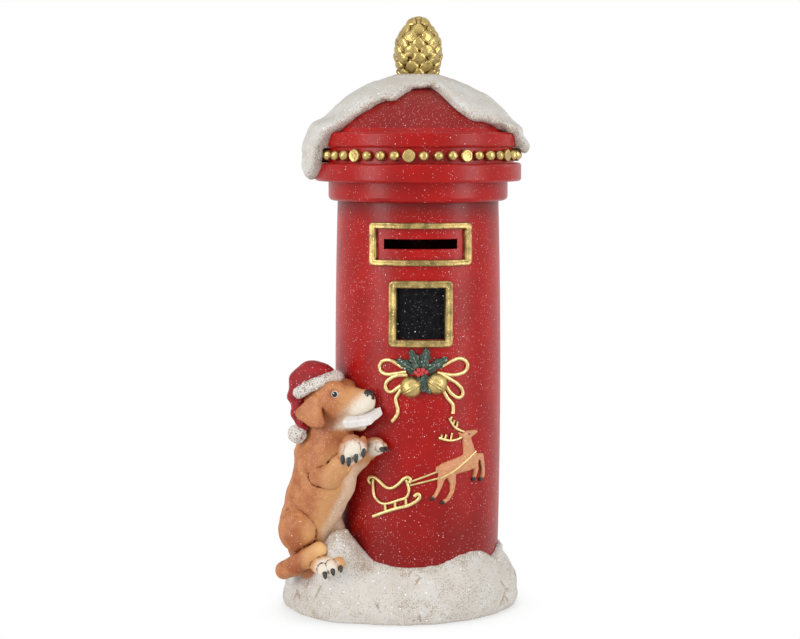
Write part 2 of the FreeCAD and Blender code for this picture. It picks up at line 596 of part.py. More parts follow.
tilt = math.radians(HAT_TILT)
hat_axis = UP * math.cos(tilt) - ALONG * math.sin(tilt)
hat_way = ALONG * math.cos(tilt) + UP * math.sin(tilt)
hat_heart = dog(-4.5, 0, 116.5)
band_form = Part.makeTorus(HAT_RADIUS, BAND_RADIUS, hat_heart, hat_axis)
hat_band = band_form.cut(head_form).cut(dog_ears).cut(torso).cut(pillar_form)
crown = loft([oval(hat_heart + hat_axis * h, hat_way, ACROSS, r, r) for h, r in [
    (-1.0, HAT_RADIUS - 0.6), (3.5, HAT_RADIUS - 0.4), (8.0, HAT_RADIUS - 2.2), (11.8, HAT_RADIUS - 5.6), (14.0, 3.2)]])
flop = limb([(-10.0, -2.5, 124.5, 6.5), (-14.8, -5.5, 121.5, 5.6), (-17.2, -7.6, 113.5, 3.8), (-16.6, -9.0, 105.0, 2.6),
             (-14.0, -10.4, 96.0, 2.0)])
hat_form = crown.fuse(flop)
pompom_form = Part.makeSphere(POMPOM_RADIUS, dog(-12.6, -11.0, 92.4))
santa_hat = hat_form.cut(head_form).cut(dog_ears).cut(hat_band).cut(torso).cut(pompom_form)
hat_pompom = pompom_form

near_arm = join([
    ellipsoid(dog(4.0, -7.0, 75.5), 8.5, 6.6, 11.0),
    limb([(7.0, -9.4, 68.0, 5.6), (11.0, -9.4, 70.0, 6.0), (15.5, -8.8, 76.0, 5.4), (19.0, -8.4, 83.0, 4.8)]),
    ellipsoid(dog(19.8, -8.6, 86.0), 7.4, 6.2, 8.0)])
far_arm = join([
    limb([(11.0, 4.5, 74.0, 5.2), (16.0, 3.6, 79.0, 5.2), (20.5, 2.2, 83.5, 5.0), (25.0, 0.6, 87.0, 4.6)]),
    ellipsoid(dog(25.0, 0.5, 87.2), 5.8, 5.0, 4.8)])
near_arm = near_arm.cut(torso).cut(pillar_form)
far_arm = far_arm.cut(torso).cut(near_arm).cut(pillar_form)
dog_forelegs = Part.makeCompound([near_arm, far_arm])

hind_legs = []
for side in (-1.0, 1.0):
    thigh = ellipsoid(dog(-11.8, side * 9.5, 42.0), 10.6, 6.6, 13.2)
    shank = limb([
        (-18.5, side * 9.0, 24.0, 5.4), (-12.0, side * 10.0, 26.0, 7.2),
        (-4.0, side * 10.5, 29.0, 7.6), (2.0, side * 10.5, 28.5, 6.4)])
    foot = ellipsoid(dog(5.6, side * 10.5, 26.2), 9.0, 5.6, 5.8)
    hind_legs.append(join([thigh, shank, foot]).cut(torso).cut(pillar_form).cut(snow_base))
dog_hind_legs = Part.makeCompound(hind_legs)

pieces = {
    "snow_base": snow_base, "coin_stopper": coin_stopper, "pillar_shell": pillar_shell,
    "cornice_ring": cornice_ring, "roof_dome": roof_dome, "roof_snow": roof_snow, "pine_cone": pine_cone,
    "round_studs": round_studs, "disc_studs": disc_studs, "slot_frame": slot_frame,
    "window_frame": window_frame, "window_panel": window_panel, "holly_leaves": holly_leaves,
    "holly_berries": holly_berries, "jingle_bells": jingle_bells, "ribbon_bow": ribbon_bow,
    "sleigh": sleigh, "reins": reins, "reindeer": reindeer, "antlers": antlers,
    "dog_body": dog_body, "dog_head": dog_head, "dog_ears": dog_ears, "dog_forelegs": dog_forelegs,
    "dog_hind_legs": dog_hind_legs, "santa_hat": santa_hat, "hat_band": hat_band,
    "hat_pompom": hat_pompom, "letter": letter}

# The origin is the middle of the finished object's footprint.
AXIS_X = BASE_OFFSET - 1.4
AXIS_Y = -1.2
os.makedirs("parts", exist_ok=True)
for name, shape in pieces.items():
    shape.translate(V(AXIS_X, AXIS_Y, 0))
    shape.exportStep("parts/%s.step" % name)
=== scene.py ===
import math

import bpy
import numpy as np
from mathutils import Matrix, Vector


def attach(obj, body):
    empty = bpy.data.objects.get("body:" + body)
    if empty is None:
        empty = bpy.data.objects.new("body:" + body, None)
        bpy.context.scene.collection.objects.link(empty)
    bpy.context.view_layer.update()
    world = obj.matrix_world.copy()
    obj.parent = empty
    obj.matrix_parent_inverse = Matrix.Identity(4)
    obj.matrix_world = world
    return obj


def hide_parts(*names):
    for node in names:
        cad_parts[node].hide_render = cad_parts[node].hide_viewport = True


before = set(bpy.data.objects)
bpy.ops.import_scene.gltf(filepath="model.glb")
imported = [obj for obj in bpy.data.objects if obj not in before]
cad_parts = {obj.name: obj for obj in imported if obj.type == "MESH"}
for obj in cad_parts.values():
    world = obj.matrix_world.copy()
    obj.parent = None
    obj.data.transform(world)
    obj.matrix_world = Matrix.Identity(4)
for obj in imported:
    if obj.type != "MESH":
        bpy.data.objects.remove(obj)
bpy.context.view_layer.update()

# Snow foot: the thick oval drift that the pillar and the puppy stand on.
# It is cast in one with the floor of the box, in polyresin, then painted off-white and rubbed
# with a brown wash that stays in the pits, and the stopper's hole goes up through its middle.
PILLAR_AXIS = np.array([8.0, -1.2, 0.0])
PILLAR_RADIUS, BARREL_SWELL = 40.8, 5.6
FLOOR_HEIGHT = 12.0
COLLAR_Z = 207.7
DRIFT_HALF_LENGTH, DRIFT_HALF_DEPTH, DRIFT_OFFSET = 61.0, 51.4, 9.4
DRIFT_LIP = 2.2
HOLE_RADIUS, RECESS_RADIUS, RECESS_HEIGHT = 15.0, 19.0, 6.0
GASH_COUNT = 34
MOUND_HEART, MOUND_RADII = np.array([-40.0, -33.5, 20.0]), np.array([11.0, 10.0, 26.0])
# Height at which the snow meets the pillar, by azimuth: 0 is the front, 90 the right.
DRIFT_LINE = [(-180, 30), (-150, 31), (-130, 33), (-105, 35), (-90, 38), (-78, 41.5), (-67, 42.6),
              (-58, 40.5), (-45, 34), (-34, 29), (-21, 28.2), (-9, 27.4), (3, 27.6), (12, 28.6), (19, 30.4),
              (28, 33), (38, 33.8), (48, 32.7), (55, 30.6), (62, 28), (68, 30), (76, 32), (92, 31.5),
              (115, 31), (140, 33.5), (160, 32), (180, 30)]


def swell(z):
    """Radius of the barrel-shaped pillar at a height."""
    share = np.clip((z - FLOOR_HEIGHT) / (COLLAR_Z - FLOOR_HEIGHT), 0.0, 1.0)
    return PILLAR_RADIUS + BARREL_SWELL * share * (1.0 - share)


def azimuth(p):
    return np.degrees(np.arctan2(p[..., 0], -p[..., 1]))


def along_line(stations, angle):
    """Smooth value between (azimuth, value) stations."""
    at, value = np.array(stations, float).T
    eased = np.interp(np.arange(-186.0, 187.0), at, value)
    eased = np.convolve(eased, np.hanning(9) / np.hanning(9).sum(), "same")
    return np.interp(angle, np.arange(-186.0, 187.0)[5:-5], eased[5:-5])


def meld(a, b, soft):
    """Two clay forms pressed together with a soft seam."""
    h = np.clip(0.5 + 0.5 * (b - a) / soft, 0.0, 1.0)
    return b + (a - b) * h - soft * h * (1.0 - h)


def pare(a, b, soft):
    """One clay form trimmed by another, the cut edge rounded."""
    return -meld(-a, -b, soft)


def lumps(p, size, seed):
    """Soft random lumps about as wide as the given size, from -1 to 1."""
    lattice = np.random.default_rng(seed).uniform(-1.0, 1.0, (32, 32, 32)).astype(np.float32)
    cell = p / size
    low = np.floor(cell).astype(int)
    part = cell - low
    part = part * part * (3.0 - 2.0 * part)
    total = 0.0
    for corner in np.ndindex(2, 2, 2):
        weight = 1.0
        for axis in range(3):
            weight = weight * (part[..., axis] if corner[axis] else 1.0 - part[..., axis])
        i, j, k = [(low[..., axis] + corner[axis]) % 32 for axis in range(3)]
        total = total + weight * lattice[i, j, k]
    return total


def skin(clay, low, high, pitch):
    """Quads over the surface of a clay form, and how hollow the form is at each point."""
    axes = [np.arange(a - 2 * pitch, b + 2 * pitch, pitch) for a, b in zip(low, high)]
    value = clay(np.stack(np.meshgrid(*axes, indexing="ij"), -1)).astype(np.float32)
    inside = value < 0
    shape = np.array(value.shape)
    owners, hits, quads = [], [], []
    for axis in range(3):
        before, after = [slice(None)] * 3, [slice(None)] * 3
        before[axis], after[axis] = slice(None, -1), slice(1, None)
        at = np.argwhere(inside[tuple(before)] != inside[tuple(after)])
        at = at[np.all((at > 0) & (at < shape - 1), axis=1)]
        far = at.copy()
        far[:, axis] += 1
        a, b = value[tuple(at.T)], value[tuple(far.T)]
        hit = at.astype(float)
        hit[:, axis] += a / (a - b)
        u, w = (axis + 1) % 3, (axis + 2) % 3
        ring = []
        for du, dw in ((-1, -1), (0, -1), (0, 0), (-1, 0)):
            cell = at.copy()
            cell[:, u] += du
            cell[:, w] += dw
            ring.append(np.ravel_multi_index(tuple(cell.T), value.shape))
        ring = np.stack(ring, 1)
        owners.append(ring.ravel())
        hits.append(np.repeat(hit, 4, axis=0))
        ring[a > 0] = ring[a > 0][:, ::-1]
        quads.append(ring)
    cells, order = np.unique(np.concatenate(owners), return_inverse=True)
    hits = np.concatenate(hits)
    count = np.bincount(order)
    points = np.stack([np.bincount(order, hits[:, axis]) / count for axis in range(3)], 1)
    points = points * pitch + np.array([axis[0] for axis in axes])
    faces = np.searchsorted(cells, np.concatenate(quads))
    nudge = 0.3 * pitch
    slope = np.stack([clay(points + nudge * way) - clay(points - nudge * way) for way in np.eye(3)], 1)
    slope /= np.linalg.norm(slope, axis=1, keepdims=True) + 1e-9
    hollow = sum(1.0 - clay(points + slope * reach) / reach for reach in (1.0, 2.5)) / 2.0
    return points, faces, np.clip(hollow, 0.0, 1.0)


def cast(name, points, faces, marks=None):
    """Mesh piece from points in millimetres about the pillar's axis, with painted marks."""
    mesh = bpy.data.meshes.new(name)
    mesh.from_pydata(((points + PILLAR_AXIS) / 1000.0).tolist(), [], [list(map(int, f)) for f in faces])
    mesh.shade_smooth()
    for mark, value in (marks or {}).items():
        layer = mesh.attributes.new(mark, "FLOAT", "POINT")
        layer.data.foreach_set("value", np.asarray(value, np.float32))
    piece = bpy.data.objects.new(name, mesh)
    bpy.context.collection.objects.link(piece)
    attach(piece, "money_box")
    return piece


def mould(name, clay, low, high, pitch, place=np.asarray):
    """Piece skinned from a clay form and put in place, its hollows marked for the wash."""
    points, faces, hollow = skin(clay, low, high, pitch)
    return cast(name, place(points), faces, {"hollow": hollow})


def drift_rim(angle):
    """Distance from the pillar's axis to the oval rim."""
    x, y = np.sin(np.radians(angle)), np.cos(np.radians(angle))
    a = (x / DRIFT_HALF_LENGTH) ** 2 + (y / DRIFT_HALF_DEPTH) ** 2
    b = x * DRIFT_OFFSET / DRIFT_HALF_LENGTH ** 2
    c = (DRIFT_OFFSET / DRIFT_HALF_LENGTH) ** 2 - 1.0
    return (-b + np.sqrt(b * b - a * c)) / a + 0.5 * np.sin(np.radians(5 * angle + 40))


gash_draw = np.random.default_rng(11)
gashes = []
for k in range(GASH_COUNT):
    turn = gash_draw.uniform(-180, 180)
    gashes.append((turn, gash_draw.uniform(2, 24), gash_draw.uniform(-1.2, 1.2), gash_draw.uniform(0.8, 3.2)))


def drift_clay(p):
    z = p[..., 2]
    angle = azimuth(p)
    reach = np.hypot(p[..., 0], p[..., 1])
    rim, line = drift_rim(angle), along_line(DRIFT_LINE, angle)
    foot = swell(z) + DRIFT_LIP
    share = np.clip(z / (0.86 * line), 0.0, 1.0)
    side = rim - (rim - foot) * share ** 2.7 - 2.2 * np.clip(1.0 - z / 7.0, 0.0, 1.0) ** 2
    form = pare((reach - side) * 0.8, z - line, 2.6)
    mound = np.linalg.norm((p - MOUND_HEART) / MOUND_RADII, axis=-1)
    form = meld(form, (mound - 1.0) * 9.0, 7.0)
    form = form - 0.55 * lumps(p, 7.0, 3) - 0.28 * lumps(p, 2.6, 4)
    for turn, height, lean, half in gashes:
        way = np.radians(turn)
        sway = (p[..., 0] * math.cos(way) + p[..., 1] * math.sin(way)) + (z - height) * lean
        ahead = p[..., 0] * math.sin(way) - p[..., 1] * math.cos(way)
        notch = np.hypot(sway * 2.2, np.maximum(abs(z - height) - half, 0.0)) - 0.75
        form = pare(form, np.where((ahead > 0) & (form > -0.6), -notch, -9.0), 0.9)
    form = pare(form, -z, 0.8)
    form = np.maximum(form, -np.maximum(reach - swell(z) + 0.7, FLOOR_HEIGHT - z))
    form = np.maximum(form, HOLE_RADIUS - reach)
    return np.maximum(form, -np.maximum(reach - RECESS_RADIUS, z - RECESS_HEIGHT))


snow_foot = mould("snow_foot", drift_clay, (-71, -54, 0), (53, 53, 49), 0.9)
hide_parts("snow_base")


def stage_of(tree, kind, props, feeds):
    """One node of a finish; a feed is a plain value or another node's output."""
    node = tree.nodes.new("ShaderNode" + kind)
    for key, value in props.items():
        setattr(node, key, value)
    for key, value in feeds.items():
        if isinstance(value, bpy.types.NodeSocket):
            tree.links.new(value, node.inputs[key])
        else:
            node.inputs[key].default_value = value
    return node


def reckon(operation, a, b=0.0, c=0.0):
    """Sum on node outputs, in the tree of the first of them."""
    tree = next(value for value in (a, b, c) if isinstance(value, bpy.types.NodeSocket)).id_data
    return stage_of(tree, "Math", {"operation": operation}, {0: a, 1: b, 2: c}).outputs[0]


def times(a, b):
    return reckon("MULTIPLY", a, b)


def between(value, low, high):
    """Eased mask that goes from 0 at low to 1 at high."""
    feeds = {"Value": value, "From Min": low, "From Max": high}
    return stage_of(value.id_data, "MapRange", {"interpolation_type": "SMOOTHSTEP"}, feeds).outputs[0]


def over(mask, under, top):
    """One colour laid over another where the mask is 1."""
    return stage_of(mask.id_data, "Mix", {"data_type": "RGBA"}, {0: mask, 6: under, 7: top}).outputs[2]


def mark_of(tree, name):
    return stage_of(tree, "Attribute", {"attribute_name": name}, {}).outputs["Fac"]


def surface_place(tree):
    """Place on the object in millimetres."""
    place = stage_of(tree, "TexCoord", {}, {}).outputs["Object"]
    return stage_of(tree, "VectorMath", {"operation": "SCALE"}, {0: place, "Scale": 1000.0}).outputs[0]


def new_group(name, inputs, outputs):
    """Empty effect with named inputs and outputs."""
    group = bpy.data.node_groups.new(name, "ShaderNodeTree")
    for label, start in inputs.items():
        group.interface.new_socket(label, in_out="INPUT", socket_type="NodeSocketFloat").default_value = start
    for label in outputs:
        group.interface.new_socket(label, in_out="OUTPUT", socket_type="NodeSocketFloat")
    return group, group.nodes.new("NodeGroupInput").outputs, group.nodes.new("NodeGroupOutput").inputs


def effect(tree, group, **values):
    """A shared effect used in a finish, by the names of its inputs and outputs."""
    return stage_of(tree, "Group", {"node_tree": group}, values).outputs


# Glitter dust: loose flecks shaken over wet paint, each catching the light by itself.
glitter_dust, given, made = new_group("glitter_dust", {"Spacing": 2.0, "Share": 0.4, "Fleck": 0.16},
                                      ["Flecks", "Spark"])
cell = reckon("DIVIDE", 1.0, given["Spacing"])
spot = stage_of(glitter_dust, "VectorMath", {"operation": "SCALE"},
                {0: surface_place(glitter_dust), "Scale": cell})
fleck = stage_of(glitter_dust, "TexVoronoi", {}, {"Vector": spot.outputs[0], "Scale": 1.0})
draw = stage_of(glitter_dust, "SeparateColor", {}, {"Color": fleck.outputs["Color"]})
near = reckon("LESS_THAN", fleck.outputs["Distance"], given["Fleck"])
kept = reckon("LESS_THAN", draw.outputs[0], given["Share"])
glitter_dust.links.new(times(near, kept), made["Flecks"])
glitter_dust.links.new(draw.outputs[1], made["Spark"])

# Brown wash and painted shade: thin darker colour that is wiped off the high places and stays in the hollows,
# where on some pieces it stands for shade.
hollow_wash_and_shade, given, made = new_group("hollow_wash_and_shade", {"From": 0.3, "To": 0.7, "Speckle": 0.5}, ["Stain"])
place = surface_place(hollow_wash_and_shade)
coarse = stage_of(hollow_wash_and_shade, "TexNoise", {},
                  {"Vector": place, "Scale": 0.22, "Detail": 4.0, "Roughness": 0.7})
fine = stage_of(hollow_wash_and_shade, "TexNoise", {}, {"Vector": place, "Scale": 1.6, "Detail": 2.0, "Roughness": 0.6})
patch = reckon("MULTIPLY_ADD", coarse.outputs[0], 0.6, -0.3)
grit = reckon("SUBTRACT", fine.outputs[0], 0.5)
grit = times(grit, given["Speckle"])
level = reckon("ADD", mark_of(hollow_wash_and_shade, "hollow"), reckon("ADD", patch, grit))
hollow_wash_and_shade.links.new(between(level, given["From"], given["To"]), made["Stain"])

# Casting grain: the slightly uneven skin of hand-painted resin.
casting_grain, given, made = new_group("casting_grain", {"Size": 3.0}, ["Shade", "Height"])
pitch = reckon("DIVIDE", 1.0, given["Size"])
waves = stage_of(casting_grain, "TexNoise", {}, {"Vector": surface_place(casting_grain), "Scale": pitch,
                                                  "Detail": 5.0, "Roughness": 0.62})
casting_grain.links.new(between(waves.outputs[0], 0.3, 0.7), made["Shade"])
casting_grain.links.new(waves.outputs[0], made["Height"])


def finish_for(name, piece, rough):
    """New material on a piece, with its Principled shader's plain values."""
    material = bpy.data.materials.new(name)
    material.use_nodes = True
    tree = material.node_tree
    shader = tree.nodes["Principled BSDF"]
    shader.inputs["Roughness"].default_value = rough
    piece.data.materials.clear()
    piece.data.materials.append(material)
    return tree, shader


def tint(shader, colour):
    shader.id_data.links.new(colour, shader.inputs["Base Color"])


def vary_gloss(shader, height, low, high):
    """Roughness that follows the grain from low to high."""
    rough = stage_of(shader.id_data, "MapRange", {}, {"Value": height, "To Min": low, "To Max": high})
    shader.id_data.links.new(rough.outputs[0], shader.inputs["Roughness"])


def press(shader, height, depth):
    """Fine relief, its depth in millimetres."""
    feeds = {"Height": height, "Distance": depth / 1000.0, "Strength": 1.0}
    bump = stage_of(shader.id_data, "Bump", {}, feeds)
    shader.id_data.links.new(bump.outputs[0], shader.inputs["Normal"])


def painted(name, piece, rough, tones, relief, wash=None, dust=None):
    """Plain finish: two tones, a wash in the hollows, a dusting of flecks and a fine relief.

    tones is grain size and two colours, relief is grain size and depth, wash is start, end,
    speckle, strength and colour, and dust is spacing, share, fleck size, strength and colour.
    """
    tree, shader = finish_for(name, piece, rough)
    colour = over(effect(tree, casting_grain, Size=tones[0])["Shade"], *tones[1:])
    if wash:
        stain_and_shade = effect(tree, hollow_wash_and_shade, From=wash[0], To=wash[1], Speckle=wash[2])
        colour = over(times(stain_and_shade["Stain"], wash[3]), colour, wash[4])
    if dust:
        flecks = effect(tree, glitter_dust, Spacing=dust[0], Share=dust[1], Fleck=dust[2])
        colour = over(times(flecks["Flecks"], dust[3]), colour, dust[4])
    tint(shader, colour)
    press(shader, effect(tree, casting_grain, Size=relief[0])["Height"], relief[1])
    return tree, shader, colour


painted("snow_paint", snow_foot, 0.75, (9.0, (0.63, 0.59, 0.53, 1), (0.70, 0.685, 0.65, 1)), (1.1, 0.5),
        wash=(0.22, 0.58, 2.8, 0.72, (0.34, 0.23, 0.145, 1)),
        dust=(3.4, 0.5, 0.13, 1.0, (0.95, 0.95, 0.95, 1)))

# Pillar: the hollow barrel-shaped letter box with its coin slot and window recess.
# It is cast in polyresin and sprayed deep red, darker towards the foot, with a painted shadow under
# the collar, and fine glitter is shaken over the wet paint.
# Heights between which the darker red comes in: at the foot, under the collar as painted shadow, and on the
# dome.
FOOT_SHADE, COLLAR_SHADOW_HEIGHTS, ROOF_SHADE = (78.0, 26.0), (196.0, 207.0), (243.2, 244.8)


def red_paint(name, piece, gloss, glitter):
    """Sprayed red with fine glitter and large flecks, darker at the foot, on the dome and, as painted shadow,
    under the collar.
    """
    tree, shader = finish_for(name, piece, gloss)
    shader.inputs["Specular IOR Level"].default_value = 0.25
    height = stage_of(tree, "SeparateXYZ", {}, {0: surface_place(tree)}).outputs[2]
    clouds = effect(tree, casting_grain, Size=26.0)
    skin_grain = effect(tree, casting_grain, Size=1.3)
    low_shade = times(between(height, *FOOT_SHADE), 0.58)
    # Painted shadow: the red darkens just under the collar, and less fine glitter shows there.
    collar_shadow = times(between(height, *COLLAR_SHADOW_HEIGHTS), 0.85)
    barrel = reckon("LESS_THAN", height, COLLAR_Z - 0.1)
    shade = times(reckon("MAXIMUM", low_shade, collar_shadow), barrel)
    roof_shade = between(height, *ROOF_SHADE)
    shade = reckon("MAXIMUM", shade, times(roof_shade, 0.5))
    red = over(clouds["Shade"], (0.30, 0.003, 0.002, 1), (0.41, 0.005, 0.003, 1))
    red = over(shade, red, (0.13, 0.004, 0.003, 1))
    dusting = reckon("MULTIPLY_ADD", clouds["Shade"], 0.36 * glitter, 0.26 * glitter)
    dusting = reckon("MULTIPLY_ADD", roof_shade, 0.45, dusting)
    fine = effect(tree, glitter_dust, Spacing=0.95, Share=dusting, Fleck=0.235)
    spark = reckon("MULTIPLY_ADD", fine["Spark"], 0.50, 0.11)
    clean = reckon("SUBTRACT", 1.0, times(collar_shadow, barrel))
    fine_mask = times(times(fine["Flecks"], spark), clean)
    red = over(fine_mask, red, (0.86, 0.58, 0.58, 1))
    large = effect(tree, glitter_dust, Spacing=2.4, Share=0.20 * glitter, Fleck=0.095)
    red = over(large["Flecks"], red, (0.93, 0.86, 0.86, 1))
    tint(shader, red)
    vary_gloss(shader, skin_grain["Height"], gloss - 0.08, gloss + 0.1)
    press(shader, skin_grain["Height"], 0.10)


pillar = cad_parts["pillar_shell"]
red_paint("red_glitter_paint", pillar, 0.33, 1.0)

# Slot and window frames: flat gold mouldings raised round the two openings.
# They are cast with the pillar and brushed with gold size; their edges are a little uneven, and
# painted shade darkens the corners.
FRAME_RELIEF = 2.2
SLOT_Z, WINDOW_Z = 187.5, 153.5


def on_pillar(points):
    """Points given as x, distance out and height, laid on the front of the pillar."""
    x, out, z = points.T
    radius = swell(z)
    side = x / radius
    return np.stack([x + side * out, -np.sqrt(radius ** 2 - x * x) - np.sqrt(1.0 - side ** 2) * out, z], 1)


def panel(p, half_width, half_height, corner):
    """Flat distance to a rectangle with rounded corners."""
    q = np.stack([abs(p[..., 0]) - half_width + corner, abs(p[..., 2]) - half_height + corner], -1)
    return np.linalg.norm(np.maximum(q, 0.0), axis=-1) + np.minimum(q.max(-1), 0.0) - corner


def frame_clay(width, height, border, seed):
    """Moulding of a frame, flat, with its edges a little uneven."""
    def clay(p):
        p = p + 0.16 * np.stack([lumps(p, 5.0, seed), 0.0 * p[..., 0], lumps(p, 5.0, seed + 1)], -1)
        bar = abs(panel(p, (width - border) / 2, (height - border) / 2, 0.4)) - border / 2
        crown = FRAME_RELIEF + 0.2 + 0.18 * bar
        return np.maximum(pare(bar, p[..., 1] - crown, 0.9), -0.6 - p[..., 1])
    return clay


def gold_paint(name, piece, base, dark, gloss, wear=0.74):
    """Gold size brushed on, with a brown wash and painted shade darkening the hollows and corners."""
    tree, shader = finish_for(name, piece, gloss)
    shader.inputs["Metallic"].default_value = 0.88
    streaks = effect(tree, casting_grain, Size=1.0)
    clouds = effect(tree, casting_grain, Size=4.5)
    stain_and_shade = effect(tree, hollow_wash_and_shade, From=0.30, To=0.85, Speckle=0.9)
    gold = over(clouds["Shade"], [c * wear for c in base[:3]] + [1], base)
    leaf = effect(tree, glitter_dust, Spacing=0.8, Share=0.30, Fleck=0.34)
    gold = over(times(leaf["Flecks"], 0.5), gold, (0.86, 0.74, 0.42, 1))
    # Painted shade with the brown wash: darker where the surface turns inwards and in the hollows.
    edge = stage_of(tree, "NewGeometry", {}, {}).outputs["Pointiness"]
    gold = over(between(edge, 0.49, 0.40), gold, dark)
    gold = over(stain_and_shade["Stain"], gold, dark)
    tint(shader, gold)
    vary_gloss(shader, streaks["Height"], gloss - 0.1, gloss + 0.14)
    press(shader, streaks["Height"], 0.16)


AGED_GOLD, GOLD_SHADOW = (0.50, 0.36, 0.13, 1), (0.12, 0.070, 0.022, 1)
for node, width, height, border, z in (("slot_frame", 48.6, 21.2, 3.1, SLOT_Z),
                                       ("window_frame", 30.4, 32.6, 3.6, WINDOW_Z)):
    gilt = mould(node + "_gilt", frame_clay(width, height, border, 21), (-width / 2, -0.6, -height / 2),
                 (width / 2, 3.0, height / 2), 0.4, lambda points: on_pillar(points + np.array([0, 0, z])))
    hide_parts(node)
    gold_paint("aged_gold_" + node, gilt, AGED_GOLD, GOLD_SHADOW, 0.36, wear=0.36)

# Window pane: the black recess behind the window frame.
# It is only painted: black gloss with glitter that fell on it.
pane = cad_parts["window_panel"]
tree, shader = finish_for("pane_black", pane, 0.35)
shader.inputs["Specular IOR Level"].default_value = 0.03
mist = effect(tree, casting_grain, Size=2.0)
black = over(mist["Shade"], (0.004, 0.004, 0.005, 1), (0.013, 0.013, 0.014, 1))
sparse = effect(tree, glitter_dust, Spacing=1.7, Share=0.40, Fleck=0.16)
black = over(times(sparse["Flecks"], sparse["Spark"]), black, (0.9, 0.9, 0.92, 1))
powder = effect(tree, glitter_dust, Spacing=0.9, Share=0.16, Fleck=0.3)
black = over(times(powder["Flecks"], 0.16), black, (0.5, 0.5, 0.52, 1))
tint(shader, black)
press(shader, mist["Height"], 0.12)

# Collar, rings and dome: the turned head of the letter box.
# It is cast in one with the pillar; the rings have softly rubbed edges and the dome carries the
# thickest glitter.
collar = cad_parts["cornice_ring"]
red_paint("red_collar_paint", collar, 0.30, 0.45)
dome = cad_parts["roof_dome"]
red_paint("red_roof_paint", dome, 0.34, 0.6)

# Bead row: round beads with a flat disc at every fourth place, in the channel between the rings.
# The beads are cast on the ring and touched with gold one by one, so no two are quite alike.
CHANNEL_RADIUS, BEAD_Z, BEAD_RADIUS = 48.5, 230.55, 2.65
BEAD_COUNT, BEAD_START, DISC_EVERY = 44, -7.0, 4
# Profile of a disc from its dished face to its foot, as (radius, height).
DISC_SIDE = [(0.001, 2.75), (1.2, 2.7), (2.1, 2.72), (2.6, 2.86), (2.9, 2.75), (3.1, 2.3), (3.12, 1.2),
             (3.12, -0.6)]
bead_draw = np.random.default_rng(5)


def pebble(rings, sides, form):
    """Closed round form; form gives (radius, height) down its profile from 0 to 1."""
    points, faces = [], []
    for i in range(rings + 1):
        radius, height = form(i / rings)
        for j in range(sides):
            turn = 2.0 * math.pi * j / sides
            points.append((radius * math.cos(turn), radius * math.sin(turn), height))
    for i in range(rings):
        for j in range(sides):
            a, b = i * sides + j, i * sides + (j + 1) % sides
            faces.append((a, a + sides, b + sides, b))
    return np.array(points), faces


def gather(parts):
    """Several forms as one mesh."""
    points, faces, count = [], [], 0
    for more_points, more_faces in parts:
        points.append(more_points)
        faces += [tuple(k + count for k in face) for face in more_faces]
        count += len(more_points)
    return np.concatenate(points), faces


def face_out(points, turn, reach, z):
    """A form modelled along +z, laid on the ring so that it faces outwards."""
    way = math.radians(turn)
    out, side = np.array([math.sin(way), -math.cos(way), 0]), np.array([math.cos(way), math.sin(way), 0])
    at = out * reach + np.array([0, 0, z])
    return at + points[:, :1] * side + points[:, 1:2] * np.array([0, 0, 1]) + points[:, 2:] * out


def bead_side(s):
    return BEAD_RADIUS * math.sin(s * 2.5 + 0.001), BEAD_RADIUS * math.cos(s * 2.5)


beads, discs = [], []
for k in range(BEAD_COUNT):
    turn = BEAD_START + 360.0 * k / BEAD_COUNT
    size = bead_draw.uniform(0.95, 1.03)
    dents = bead_draw.integers(1, 999)
    if k % DISC_EVERY:
        form, faces = pebble(18, 28, bead_side)
        reach = CHANNEL_RADIUS + 1.45
    else:
        form, faces = pebble(7, 32, lambda s: DISC_SIDE[int(round(s * 7))])
        reach = CHANNEL_RADIUS
    form = form * size + 0.16 * np.stack([lumps(form, 1.7, dents + axis) for axis in range(3)], 1)
    (beads if k % DISC_EVERY else discs).append((face_out(form, turn, reach, BEAD_Z), faces))
for name, node, group in (("gilt_beads", "round_studs", beads), ("gilt_discs", "disc_studs", discs)):
    row = cast(name, *gather(group))
    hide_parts(node)
    gold_paint("aged_gold_" + name, row, (0.54, 0.39, 0.14, 1), GOLD_SHADOW, 0.26)

# Snow cap: the thick blanket on the dome, with lobes that hang over the rings at both sides.
# It is modelled in the casting, painted like the foot, and its edge holds the brown wash.
RING_Z, CHANNEL_Z, EAVES_Z, DOME_Z, CROWN_Z = 217.5, 226.6, 234.5, 242.0, 266.5
RING_RADIUS, BEAD_REACH, EAVES_RADIUS, DOME_RADIUS = 52.2, 52.75, 50.2, 56.4
# Height of the snow's lower edge by azimuth.
CAP_EDGE = [(-180, 237), (-160, 240), (-140, 241), (-125, 236), (-112, 225), (-100, 218.5), (-86, 218),
            (-76, 219.5), (-69, 222.5), (-66, 228), (-64.5, 236), (-61, 240), (-55, 244.5), (-51, 248.5),
            (-45, 252), (-39, 255), (-33, 257), (-22, 257), (-17, 260), (-9, 262.5), (13, 263), (22, 262.3),
            (25, 257), (28, 251.6), (35, 248), (48, 246.7), (57, 244), (63, 242), (70, 240), (74, 233),
            (86, 231), (100, 231.5), (113, 235), (130, 241), (150, 239), (165, 235), (180, 237)]


def ring_block(reach, z, radius, low, high):
    """Distance to a solid ring between two heights."""
    aside, above = reach - radius, abs(z - (low + high) / 2) - (high - low) / 2
    return np.hypot(np.maximum(aside, 0), np.maximum(above, 0)) + np.minimum(np.maximum(aside, above), 0)


